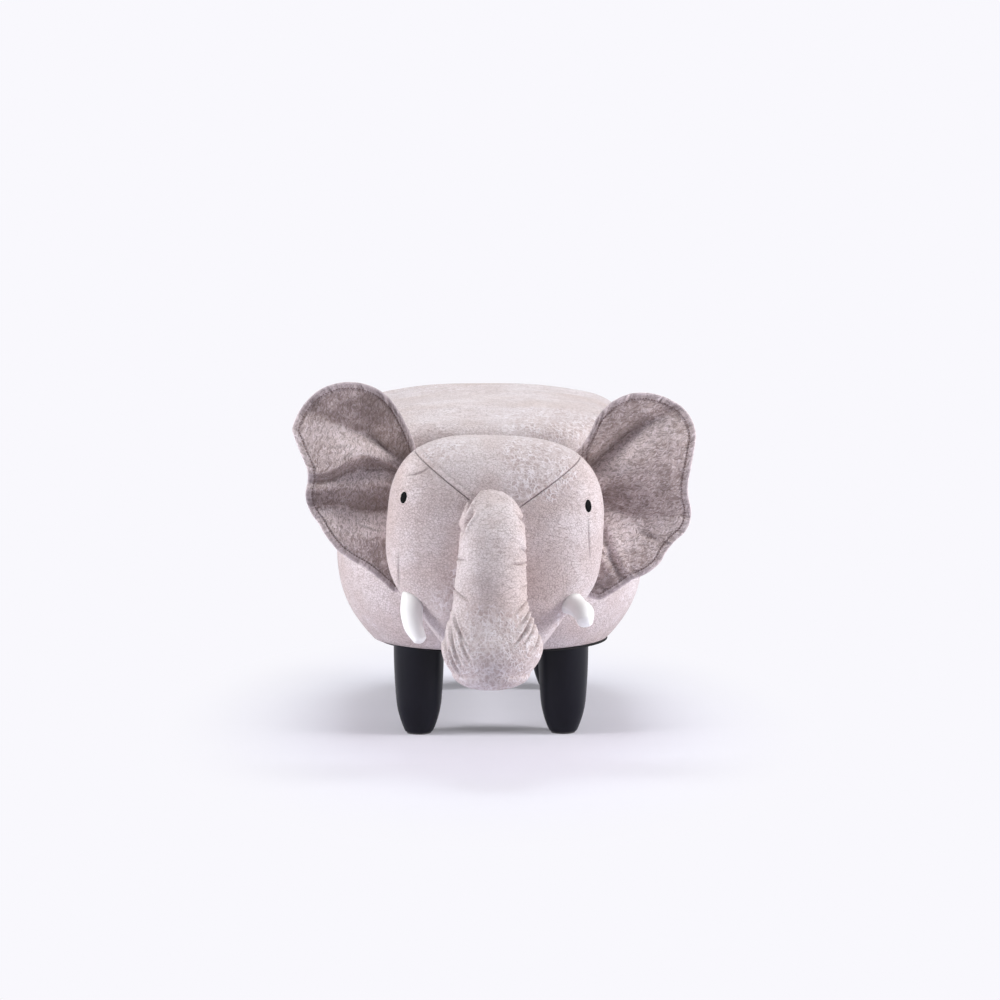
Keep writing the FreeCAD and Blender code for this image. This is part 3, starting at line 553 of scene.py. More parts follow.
@dataclass(frozen=True)
class Wire:
    """An output socket of a node tree; arithmetic on it adds Math nodes."""

    shader: "Shader"
    socket: bpy.types.NodeSocket

    def _math(self, operation: str, first: Any, second: Any) -> "Wire":
        """One Math node of two values or wires."""
        return self.shader.node("Math", {0: first, 1: second}, operation=operation)

    def __add__(self, other: Any) -> "Wire":
        """Sum."""
        return self._math("ADD", self, other)

    def __sub__(self, other: Any) -> "Wire":
        """Difference."""
        return self._math("SUBTRACT", self, other)

    def __rsub__(self, other: Any) -> "Wire":
        """Difference from a number in front."""
        return self._math("SUBTRACT", other, self)

    def __mul__(self, other: Any) -> "Wire":
        """Product."""
        return self._math("MULTIPLY", self, other)

    def __abs__(self) -> "Wire":
        """Size without its sign."""
        return self._math("ABSOLUTE", self, 0.0)

    __radd__ = __add__
    __rmul__ = __mul__


class Shader:
    """Node tree of one material or world, filled from Python expressions."""

    def __init__(self, owner: bpy.types.ID) -> None:
        """Empty the node tree of a material or world.

        Args:
            owner: the material or world.
        """
        owner.use_nodes = True
        self.owner = owner
        self.tree = owner.node_tree
        self.tree.nodes.clear()

    def node(self, kind: str, inputs: dict[Any, Any] | None = None, output: Any = 0,
             **settings: Any) -> Wire:
        """One node.

        Args:
            kind: Blender's type of the node after the word ShaderNode.
            inputs: values or wires of its sockets by name or number.
            output: which of its outputs is given back.
            settings: its own options, set first.

        Returns:
            That output.
        """
        made = self.tree.nodes.new("ShaderNode" + kind)
        for name, value in settings.items():
            setattr(made, name, value)
        for key, value in (inputs or {}).items():
            if isinstance(value, Wire):
                self.tree.links.new(value.socket, made.inputs[key])
            else:
                made.inputs[key].default_value = value
        return Wire(self, made.outputs[output]) if made.outputs else None

    def place(self) -> Wire:
        """Object coordinates."""
        return self.node("TexCoord", output="Object")

    def mark(self, name: str) -> Wire:
        """A value kept on the vertices of the piece."""
        return self.node("Attribute", output="Fac", attribute_name=name)

    def noise(self, place: Wire, scale: float, detail: float, roughness: float) -> Wire:
        """Cloudy values about one half."""
        return self.node("TexNoise",
                         {"Vector": place, "Scale": scale, "Detail": detail, "Roughness": roughness})

    def waves(self, place: Wire, way: str, pitch: float, distortion: float, detail: float = 2.0) -> Wire:
        """Even waves along one way, a pitch from crest to crest."""
        inputs = {"Vector": place, "Scale": WAVE_LENGTH / pitch, "Distortion": distortion, "Detail": detail}
        return self.node("TexWave", inputs, "Fac", bands_direction=way)

    def bent(self, place: Wire, ripple: float, sway: float) -> Wire:
        """Coordinates moved about by ripples of some fineness, no further than the sway."""
        drift = self.node("TexNoise", {"Vector": place, "Scale": ripple, "Detail": 2}, "Color")
        return self.node("Mix", {0: sway, 4: place, 5: drift}, 1, data_type="VECTOR")

    def turned(self, place: Wire, size: Triple, rotation: Triple = (0, 0, 0)) -> Wire:
        """Coordinates turned first and then divided by a size along each axis."""
        return self.node("Mapping", {"Vector": place, "Rotation": rotation, "Scale": size},
                         vector_type="TEXTURE")

    def rise(self, value: Wire, low: float, high: float) -> Wire:
        """Smooth rise from 0 at low to 1 at high."""
        return self.node("MapRange", {"Value": value, "From Min": low, "From Max": high},
                         interpolation_type="SMOOTHSTEP")

    def mix(self, share: Any, first: Any, second: Any) -> Wire:
        """Colour between two colours, each a wire or display values."""
        low, high = (tone if isinstance(tone, Wire) else colour(*tone) for tone in (first, second))
        return self.node("Mix", {0: share, 6: low, 7: high}, 2, data_type="RGBA")

    def bump(self, height: Wire, distance: float, strength: float = 1.0) -> Wire:
        """Normal of a surface with small heights."""
        return self.node("Bump", {"Height": height, "Distance": distance, "Strength": strength})

    def surface(self, base: Any, roughness: Any, normal: Wire | None = None,
                **constants: Any) -> Material:
        """Close the tree with one surface shader.

        Args:
            base: colour.
            roughness: roughness.
            normal: bumped normal, if any.
            constants: plain values of other sockets, their names with underscores for spaces.

        Returns:
            The material.
        """
        inputs = {"Base Color": base, "Roughness": roughness}
        inputs.update({name.replace("_", " "): value for name, value in constants.items()})
        if normal is not None:
            inputs["Normal"] = normal
        shader = self.node("BsdfPrincipled", inputs)
        self.node("OutputMaterial", {"Surface": shader})
        return self.owner


class Finish:
    """A finish: its paint method fills a new material."""

    def make(self, name: str) -> Material:
        """New material of this finish with a name."""
        shader = Shader(bpy.data.materials.new(name))
        return self.paint(shader, shader.place())

    def paint(self, shader: Shader, place: Wire) -> Material:
        """Fill the material.

        Args:
            shader: its empty node tree.
            place: Object coordinates there.

        Returns:
            The material.
        """
        raise NotImplementedError


@dataclass(frozen=True)
class Leather(Finish):
    """Distressed leather cloth: cool and warm clouds, pebbled and wrinkled grain, a pale net of cracks.

    The cracks and dark pits show where the cloth is worn.
    """

    pale: Triple = (226, 216, 219)
    body: Triple = (212, 198, 199)
    warm: Triple = (212, 192, 186)
    deep: Triple = (138, 116, 113)
    pit: Triple = (158, 131, 130)
    crack: Triple = (238, 231, 236)
    # Colour of painted shade in folds, seam grooves and hems.
    crease: Triple = (90, 74, 74)
    cell: Triple = (0.0048, 0.0048, 0.0056)
    grain: Triple = (0.0034, 0.0034, 0.0027)
    wrinkle: Triple = (0.0095, 0.0095, 0.0034)

    def paint(self, shader: Shader, place: Wire) -> Material:
        """Fill the material; it reads the marks wear and fold of its piece."""
        wear = shader.mark("wear")
        fold = shader.mark("fold")
        cloud = shader.rise(shader.noise(place, 21, 6, 0.62), 0.38, 0.64)
        warmth = shader.rise(shader.noise(place, 8, 3, 0.55), 0.42, 0.68)
        speckle = shader.noise(place, 640, 2, 0.65)
        pebbles = self.net(shader, shader.bent(place, 300, 0.0046), self.grain, 0.0, 0.16)
        rugged = shader.rise(shader.noise(place, 30, 3, 0.6), 0.34, 0.66)
        rippled = shader.noise(shader.turned(place, self.wrinkle), 1, 2, 0.55)
        wrinkles = 1 - shader.rise(abs(rippled - 0.5), 0.0, 0.06)
        furrow = pebbles * (0.62 - rugged * 0.3) + wrinkles * (0.06 + rugged * 0.44)
        torn = shader.rise(shader.noise(place, 120, 3, 0.6), 0.40, 0.62)
        cracks = self.net(shader, shader.bent(place, 210, 0.0072), self.cell, 0.02, 0.18) * (0.4 + torn * 0.6)
        patch = shader.rise(wear + shader.noise(place, 60, 4, 0.65) * 1.3 - 0.65, 0.3, 0.75)
        hollow = shader.rise(shader.noise(place, 200, 3, 0.7), 0.38, 0.58)
        dark = furrow * (1 - patch * 0.7) * 0.8 + shader.rise(speckle, 0.5, 0.72) * 0.16
        base = shader.mix(cloud, self.body, self.pale)
        base = shader.mix(warmth * 0.5, base, self.warm)
        base = shader.mix(dark, base, self.deep)
        base = shader.mix(hollow * patch * 0.5, base, self.pit)
        base = shader.mix(cracks * patch * 0.8, base, self.crack)
        # Painted shade: darker in folds, seam grooves and hems, by the fold mark.
        base = shader.mix(fold * 0.8, base, self.crease)
        height = (1 - furrow) * 0.6 + speckle * 0.2 + cracks * patch * 0.5
        roughness = 0.6 + speckle * 0.14 - cracks * patch * 0.06
        return shader.surface(base, roughness, shader.bump(height, 0.0009),
                              Sheen_Weight=0.14, Sheen_Roughness=0.4, Specular_IOR_Level=0.3)

    @staticmethod
    def net(shader: Shader, place: Wire, cell: Triple, low: float, high: float) -> Wire:
        """Lines between the cells of a pattern: one up to the low share of a cell, none from the high one."""
        edge = shader.node("TexVoronoi", {"Vector": shader.turned(place, cell), "Scale": 1.0}, "Distance",
                           feature="DISTANCE_TO_EDGE")
        return 1 - shader.rise(edge, low, high)


@dataclass(frozen=True)
class Suede(Finish):
    """Brushed face of an ear: two ways of tangled nap over clouds, a paler rim, painted light where the cloth
    faces up.
    """

    dark: Triple = (134, 116, 110)
    body: Triple = (216, 198, 197)
    light: Triple = (246, 234, 239)
    # Colour of painted shade in folds and on cloth that faces down.
    crease: Triple = (72, 57, 54)
    streak: Triple = (0.0015, 0.0046, 0.0048)
    lean: float = 0.5
    cross: float = 0.8

    def paint(self, shader: Shader, place: Wire) -> Material:
        """Fill the material; it reads the marks rim, lie and fold of its piece."""
        rim = shader.mark("rim")
        lie = shader.mark("lie")
        fold = shader.mark("fold")
        wavy = shader.bent(place, 95, 0.010)
        nap = shader.noise(shader.turned(wavy, self.streak, (0, self.lean, 0)), 1, 2, 0.6)
        under = shader.noise(shader.turned(wavy, self.streak, (0, self.lean + self.cross, 0)), 0.9, 2, 0.6)
        cloud = shader.rise(shader.noise(place, 34, 5, 0.6), 0.38, 0.64)
        clump = shader.rise(shader.noise(place, 120, 3, 0.65), 0.42, 0.66)
        grain = shader.noise(place, 620, 2, 0.65)
        hair = shader.rise(nap, 0.50, 0.58)
        shade = shader.rise(under, 0.50, 0.58)
        # Painted light and shade from the slope mark: paler where the cloth faces up, darker where it faces
        # down or lies near the head, with some random unevenness.
        base = shader.mix(0.32 + cloud * 0.25 + lie * 0.43, self.dark, self.body)
        base = shader.mix(shader.rise(lie, 0.5, 1.0) * 0.42, base, self.light)
        base = shader.mix(hair * (0.14 + clump * 0.2 + lie * 0.45), base, self.light)
        base = shader.mix(shade * (0.64 - lie * 0.16), base, self.dark)
        base = shader.mix(shader.rise(grain, 0.5, 0.68) * 0.3, base, self.dark)
        # Painted shade in the crease colour where the cloth faces down or lies near the head.
        base = shader.mix((1 - shader.rise(lie, 0.0, 0.35)) * 0.3, base, self.crease)
        # The rim band and piping are paler cloth; the same mark puts painted highlights on puckers that stand
        # forward.
        base = shader.mix(rim * 0.6, base, self.light)
        # Painted shade in folds, creases, the stitch groove and the hollows between puckers.
        base = shader.mix(fold * 0.75, base, self.crease)
        height = nap * 0.6 + (1 - shade) * 0.3 + grain * 0.4
        return shader.surface(base, 0.74 + grain * 0.12, shader.bump(height, 0.0012),
                              Sheen_Weight=0.12, Sheen_Roughness=0.45, Specular_IOR_Level=0.2)


@dataclass(frozen=True)
class PlainCloth(Finish):
    """Woven or felted cloth: two crossed thread waves, a little fuzz and painted shade in folds.

    Through is how far light goes through it, in metres; at zero it stays on the surface.
    """

    thread: Triple
    shade: Triple
    pitch: float = 0.0011
    rough: float = 0.85
    sheen: float = 0.2
    through: float = 0.0

    def paint(self, shader: Shader, place: Wire) -> Material:
        """Fill the material; it reads the mark fold of its piece."""
        fold = shader.mark("fold")
        weave = (shader.waves(place, "DIAGONAL", self.pitch, 1.5, 1.0)
                 * shader.waves(place, "Z", self.pitch, 1.5, 1.0))
        fuzz = shader.noise(place, 900, 3, 0.7)
        cloud = shader.rise(shader.noise(place, 45, 4, 0.6), 0.4, 0.75)
        base = shader.mix(cloud * 0.35 + weave * 0.2, self.thread, self.shade)
        # Painted shade: the darker tone in folds and hems, by the fold mark.
        base = shader.mix(fold * 0.6, base, self.shade)
        height = weave * 0.5 + fuzz * 0.5
        return shader.surface(base, self.rough + fuzz * 0.1, shader.bump(height, 0.0003, 0.7),
                              Sheen_Weight=self.sheen, Sheen_Roughness=0.4, Specular_IOR_Level=0.25,
                              Subsurface_Weight=float(self.through > 0), Subsurface_Scale=self.through,
                              Subsurface_Radius=(1.0, 1.0, 1.0))


@dataclass(frozen=True)
class Thread(Finish):
    """Sewing or embroidery thread: fine twisted ply with a silky gloss."""

    ply: Triple
    gap: Triple
    pitch: float = 0.0005

    def paint(self, shader: Shader, place: Wire) -> Material:
        """Fill the material."""
        twist = shader.waves(place, "DIAGONAL", self.pitch, 2.0)
        fuzz = shader.noise(place, 1200, 2, 0.6)
        base = shader.mix(twist * 0.5 + fuzz * 0.3, self.ply, self.gap)
        return shader.surface(base, 0.5 + fuzz * 0.15, shader.bump(twist, 0.0002, 0.5),
                              Specular_IOR_Level=0.07)


@dataclass(frozen=True)
class Lacquer(Finish):
    """Satin black lacquer on turned wood: faint grain below, a little orange peel, rubbed at the foot."""

    coat: Triple = (10, 10, 21)
    rubbed: Triple = (28, 28, 38)
    figure: Triple = (0.0025, 0.0025, 0.05)

    def paint(self, shader: Shader, place: Wire) -> Material:
        """Fill the material."""
        grain = shader.noise(shader.turned(place, self.figure), 1, 3, 0.6)
        peel = shader.noise(place, 420, 1, 0.4)
        level = shader.node("SeparateXYZ", {0: place}, "Z")
        foot = 1 - shader.rise(level, 0.004, 0.02)
        scuff = shader.rise(shader.noise(place, 190, 4, 0.7), 0.55, 0.72) * foot
        base = shader.mix(grain * 0.3 + scuff * 0.6, self.coat, self.rubbed)
        height = grain * 0.35 + peel * 0.65
        return shader.surface(base, 0.34 + grain * 0.1 + scuff * 0.25, shader.bump(height, 0.00012, 0.6),
                              Specular_IOR_Level=0.2)


@dataclass(frozen=True)
class Plywood(Finish):
    """Birch plywood: pale figure along one way and darker glue lines through its thickness."""

    face: Triple = (214, 186, 146)
    figure: Triple = (181, 143, 98)
    grain: Triple = (0.006, 0.12, 0.006)
    pore: Triple = (0.0007, 0.012, 0.0007)
    ply: float = 0.003

    def paint(self, shader: Shader, place: Wire) -> Material:
        """Fill the material."""
        grain = shader.noise(shader.turned(place, self.grain), 1, 5, 0.65)
        pores = shader.noise(shader.turned(place, self.pore), 1, 2, 0.5)
        layers = shader.waves(place, "Z", self.ply, 0.3)
        share = shader.rise(grain, 0.4, 0.7) * 0.6 + shader.rise(layers, 0.7, 1.0) * 0.3
        base = shader.mix(share, self.face, self.figure)
        return shader.surface(base, 0.6 + pores * 0.15, shader.bump(pores, 0.0002, 0.6))


@dataclass(frozen=True)
class ZincSteel(Finish):
    """Bright zinc-plated steel: faint crystal flecks, fine brush lines and dull spots."""

    bright: Triple = (196, 198, 203)
    dull: Triple = (148, 151, 158)
    brushed: Triple = (0.0006, 0.02, 0.0006)

    def paint(self, shader: Shader, place: Wire) -> Material:
        """Fill the material."""
        fleck = shader.node("TexVoronoi", {"Vector": place, "Scale": 420}, "Distance")
        brush = shader.noise(shader.turned(place, self.brushed), 1, 2, 0.5)
        spot = shader.rise(shader.noise(place, 130, 4, 0.6), 0.5, 0.7)
        base = shader.mix(fleck * 0.35 + spot * 0.4, self.bright, self.dull)
        return shader.surface(base, 0.3 + spot * 0.2 + brush * 0.1, shader.bump(brush, 0.0001, 0.5),
                              Metallic=1.0)


class Finishes:
    """All the materials of the stool, made once."""

    def __init__(self) -> None:
        """Make each material."""
        self.leather = Leather().make("leather_cloth")
        self.ears = {
            "left": Suede(lean=-0.45).make("ear_suede_left"),
            "right": Suede(lean=0.6).make("ear_suede_right"),
        }
        self.tusk = PlainCloth((255, 255, 255), (248, 248, 252), pitch=0.0009, sheen=0.6,
                               through=0.012).make("tusk_cloth")
        self.lining = PlainCloth((44, 43, 48), (26, 25, 29), pitch=0.0014).make("lining_cloth")
        self.dust = PlainCloth((30, 30, 33), (16, 16, 18), pitch=0.002, sheen=0.05).make("dust_cloth")
        self.felt = PlainCloth((96, 94, 96), (62, 60, 62), pitch=0.0008).make("glide_felt")
        self.eye = Thread((10, 10, 14), (3, 3, 5)).make("eye_thread")
        self.seam = Thread((146, 126, 122), (106, 88, 85)).make("seam_thread")
        self.lacquer = Lacquer().make("leg_lacquer")
        self.plywood = Plywood().make("plywood")
        self.steel = ZincSteel().make("zinc_steel")


def dress(piece: Piece, material: Material, body: Body, nodes: Sequence[str] = ()) -> None:
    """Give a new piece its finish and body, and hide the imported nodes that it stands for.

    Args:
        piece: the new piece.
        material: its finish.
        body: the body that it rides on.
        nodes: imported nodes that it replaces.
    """
    piece.data.materials.append(material)
    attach(piece, body.value)
    if nodes:
        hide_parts(*nodes)
    LOG.info("%s rides on %s, %d faces", piece.name, body.value, len(piece.data.polygons))


# Box and lid


@dataclass(frozen=True)
class Plan:
    """Outline of box and lid seen from above: a small rectangle grown by a round margin."""

    middle_y: float = 0.0911
    half_width: float = 0.131
    half_length: float = 0.197
    corner: float = 0.107
    swell: float = 0.040
    seam_swell: float = 0.029
    centre_radius: float = 0.012

    @property
    def front_y(self) -> float:
        """Y of the foremost place of the padded sides."""
        return self.middle_y - self.half_length - self.swell

    @property
    def rear_y(self) -> float:
        """Y of the rearmost place of the padded sides."""
        return self.middle_y + self.half_length + self.swell

    def ring(self, columns: int) -> tuple[Array, Array]:
        """Rectangle places and outward directions once round the outline.

        The straight sides and the quarter turns get columns by their length on the swollen outline.

        Args:
            columns: how many places.

        Returns:
            Places on the inner rectangle and unit directions, each as (column, xy).
        """
        core = np.array([self.half_width - self.corner, self.half_length - self.corner])
        radius = self.corner + self.swell
        quarter = radius * math.pi / 2
        lengths = np.array([2 * core[1], quarter, 2 * core[0], quarter] * 2)
        stops = np.concatenate([[0.0], np.cumsum(lengths)])
        corners = core * np.repeat([[1, -1], [1, 1], [-1, 1], [-1, -1], [1, -1]], 2, axis=0)[1:]
        turns = np.array([0, 0, 1, 1, 2, 2, 3, 3, 4]) * math.pi / 2
        wanted = np.linspace(0.0, stops[-1], columns, endpoint=False)
        places = np.stack([np.interp(wanted, stops, corners[:, axis]) for axis in (0, 1)], axis=-1)
        angle = np.interp(wanted, stops, turns)
        return places, np.stack([np.cos(angle), np.sin(angle)], axis=-1)

    def rows(self, swells: Array, levels: Array, columns: int) -> Array:
        """Grid of outlines: rectangle place plus direction times corner radius and swell, at each level.

        Near the middle the rectangle is drawn in to a point.

        Args:
            swells: how far each row stands outside the bottom outline.
            levels: height of each row.
            columns: places in each row.

        Returns:
            Points as (row, column, xyz).
        """
        places, directions = self.ring(columns)
        reach = (self.corner + swells)[:, None, None]
        drawn_in = np.clip(reach / self.centre_radius, 0.0, 1.0)
        flat = places[None] * drawn_in + directions[None] * np.maximum(reach, 0.0)
        height = np.broadcast_to(levels[:, None, None], (*flat.shape[:2], 1))
        return np.concatenate([flat, height], axis=-1) + np.array([0.0, self.middle_y, 0.0])


@dataclass
class Assembly:
    """What each sub-assembly is made to and of: the plan of the box, the finishes and the filling."""

    plan: Plan
    finishes: Finishes
    stuffing: Stuffing


@dataclass
class Tub(Assembly):
    """Padded sides of the storage box with their leather cover, turned in over the rim."""

    bottom: float = 0.100
    widest: float = 0.205
    rim: float = 0.2510
    power: float = 2.6
    well_inset: float = 0.0133
    edge_round: float = 0.004
    hem_swells: Triple = (-0.014, -0.006, -0.0025)
    hem_drops: Triple = (0.0004, 0.0006, 0.0002)
    side_lift: float = 0.0006
    side_gap: float = 0.0003
    side_crowding: float = 1.25
    wave_height: float = 0.0009
    pull_height: float = 0.0010
    columns: int = 340
    side_rows: int = 96
    edge_rows: int = 7
    ledge_rows: int = 6
    spots: tuple[Spot, ...] = (
        Spot((-130, -60, 140), 50, 0.5), Spot((140, -70, 150), 50, 0.6),
        Spot((170, 160, 170), 60, 0.6), Spot((-50, 320, 200), 60, 0.5),
    )

    def swell(self, level: Array) -> Array:
        """Swell of the side at a height: fast from the base, widest, then in to the seam by a parabola.

        Args:
            level: heights.

        Returns:
            How far the side stands outside the bottom outline there.
        """
        low = np.clip((level - self.bottom) / (self.widest - self.bottom), 0.0, 1.0)
        high = np.clip((level - self.widest) / (self.rim - self.widest), 0.0, 1.0)
        plan = self.plan
        return (plan.swell * (1 - (1 - low) ** self.power)
                + (plan.seam_swell - plan.swell) * high ** 2)

    def build(self) -> None:
        """Make the cover: turned-in hem, swelling side, rounded rim, flat ledge, edge of the well."""
        share = np.linspace(0.0, 1.0, self.side_rows) ** self.side_crowding
        side = self.bottom + self.side_lift + (self.rim - self.edge_round - self.bottom) * share
        edge = np.linspace(0.15, 1.0, self.edge_rows) * math.pi / 2
        top = float(self.swell(np.array(side[-1])))
        well = -self.well_inset
        swells = np.concatenate([
            self.hem_swells, self.swell(side) - self.side_gap, top - self.edge_round * (1 - np.cos(edge)),
            np.linspace(top - 3 * self.edge_round, well + 0.002, self.ledge_rows), [well, well - 0.0005],
        ])
        levels = np.concatenate([
            self.bottom - np.array(self.hem_drops), side, side[-1] + (self.rim - side[-1]) * np.sin(edge),
            np.full(self.ledge_rows, self.rim), [self.rim - 0.0012, self.rim - 0.010],
        ])
        rows = self.plan.rows(swells, levels, self.columns)
        height = levels[:, None] - self.bottom
        on_side = smooth_step(height, 0.0, 0.006) * (1 - smooth_step(height, 0.135, 0.148))
        pulls = hem_pulls(rows, height, 0.011, 0.016, 41)
        waves = waviness(rows, (0.6, 0.075, 42), (0.25, 0.03, 43))
        lift = on_side * (self.wave_height * waves + self.pull_height * pulls)
        rows = rows + grid_normals(rows) * lift[..., None]
        # Painted shade: darker in the hollows of the hem pulls and towards the hem turned in at the bottom.
        fold = np.maximum(np.clip(-pulls, 0, 1) * 0.35 * on_side, 0.5 * np.exp(-height / 0.0025))
        piece = skin("body_cover_padded", rows, wear=worn(rows, self.spots, 44), fold=fold)
        dress(piece, self.finishes.leather, Body.BOX,
              ("body_cover", "foam_front", "foam_rear", "foam_left", "foam_right"))


@dataclass
class Lid(Assembly):
    """Padded lid: bulged side, edge that is squarer in front, low crown, its cover turned under the board."""

    bottom: float = 0.2522
    widest: float = 0.298
    edge_round: float = 0.057
    front_power: float = 3.6
    firmness: float = 0.35
    crown: float = 0.008
    hem_insets: tuple[float, ...] = (0.030, 0.012, 0.004, 0.0012)
    hem_lifts: tuple[float, ...] = (0.0008, 0.0006, 0.0, 0.0002)
    middle_lift: float = 0.0009
    side_lift: float = 0.0012
    wave_height: float = 0.0011
    pull_height: float = 0.0009
    columns: int = 340
    side_rows: int = 34
    edge_rows: int = 40
    spots: tuple[Spot, ...] = (
        Spot((45, -105, 352), 55, 1.0), Spot((100, -90, 330), 50, 0.8),
        Spot((-90, -120, 325), 40, 0.4), Spot((-60, 150, 362), 80, 0.5),
        Spot((90, 270, 340), 70, 0.6),
    )

    def build(self) -> None:
        """Make the cover from the hem under the board to the middle of the crown, then fill it.

        The edge is round; in front, where the cloth is pulled tight, it is a squarer curve of the same reach.
        """
        plan = self.plan
        round_rows, levels = self.rows(2.0)
        tight_rows, _ = self.rows(self.front_power)
        tight = smooth_step(-plan.ring(self.columns)[1][:, 1], 0.45, 0.95)[None, :, None]
        rows = round_rows + (tight_rows - round_rows) * tight
        first = np.array([0.0, plan.middle_y, self.bottom + self.middle_lift])
        last = np.array([0.0, plan.middle_y, levels[-1]])
        height = rows[..., 2] - self.bottom
        loose = smooth_step(height, 0.004, 0.02)
        rows = rows + self.stuffing.swell(rows, first, last) * (loose * self.firmness)[..., None]
        waves = waviness(rows, (0.6, 0.085, 51), (0.22, 0.035, 52))
        pulls = hem_pulls(rows, height, 0.012, 0.014, 53)
        lift = loose * (self.wave_height * waves + self.pull_height * pulls)
        rows = rows + grid_normals(rows) * lift[..., None]
        # Painted shade: darker in the hollows of the hem pulls and towards the hem under the board.
        fold = np.clip(-pulls, 0, 1) * 0.3 * loose + 0.4 * np.exp(-height / 0.003)
        piece = skin("lid_cover_padded", rows, first, last, wear=worn(rows, self.spots, 54), fold=fold)
        dress(piece, self.finishes.leather, Body.LID, ("lid_cover", "lid_foam"))

    def rows(self, power: float) -> tuple[Array, Array]:
        """Outlines from the hem to the crown; the edge is cosine and sine raised to two over the power.

        Args:
            power: two for a round edge, more for a squarer one.

        Returns:
            Points as (row, column, xyz) without the middle, and heights of the rows with the middle's.
        """
        plan = self.plan
        side = np.linspace(0.0, 1.0, self.side_rows)
        turn = np.linspace(0.0, math.pi / 2, self.edge_rows)[1:]
        rise = side[1:]
        inner = plan.swell - self.edge_round
        swells = np.concatenate([
            plan.seam_swell - np.array(self.hem_insets),
            plan.swell - (plan.swell - plan.seam_swell) * (1 - side) ** 2,
            inner + self.edge_round * np.abs(np.cos(turn)) ** (2 / power),
            inner - (plan.corner + inner) * rise,
        ])
        levels = np.concatenate([
            self.bottom + np.array(self.hem_lifts),
            self.bottom + self.side_lift + (self.widest - self.bottom - self.side_lift) * side,
            self.widest + self.edge_round * np.sin(turn) ** (2 / power),
            self.widest + self.edge_round + self.crown * (1 - (1 - rise) ** 2),
        ])
        return plan.rows(swells, levels, self.columns)[:-1], levels


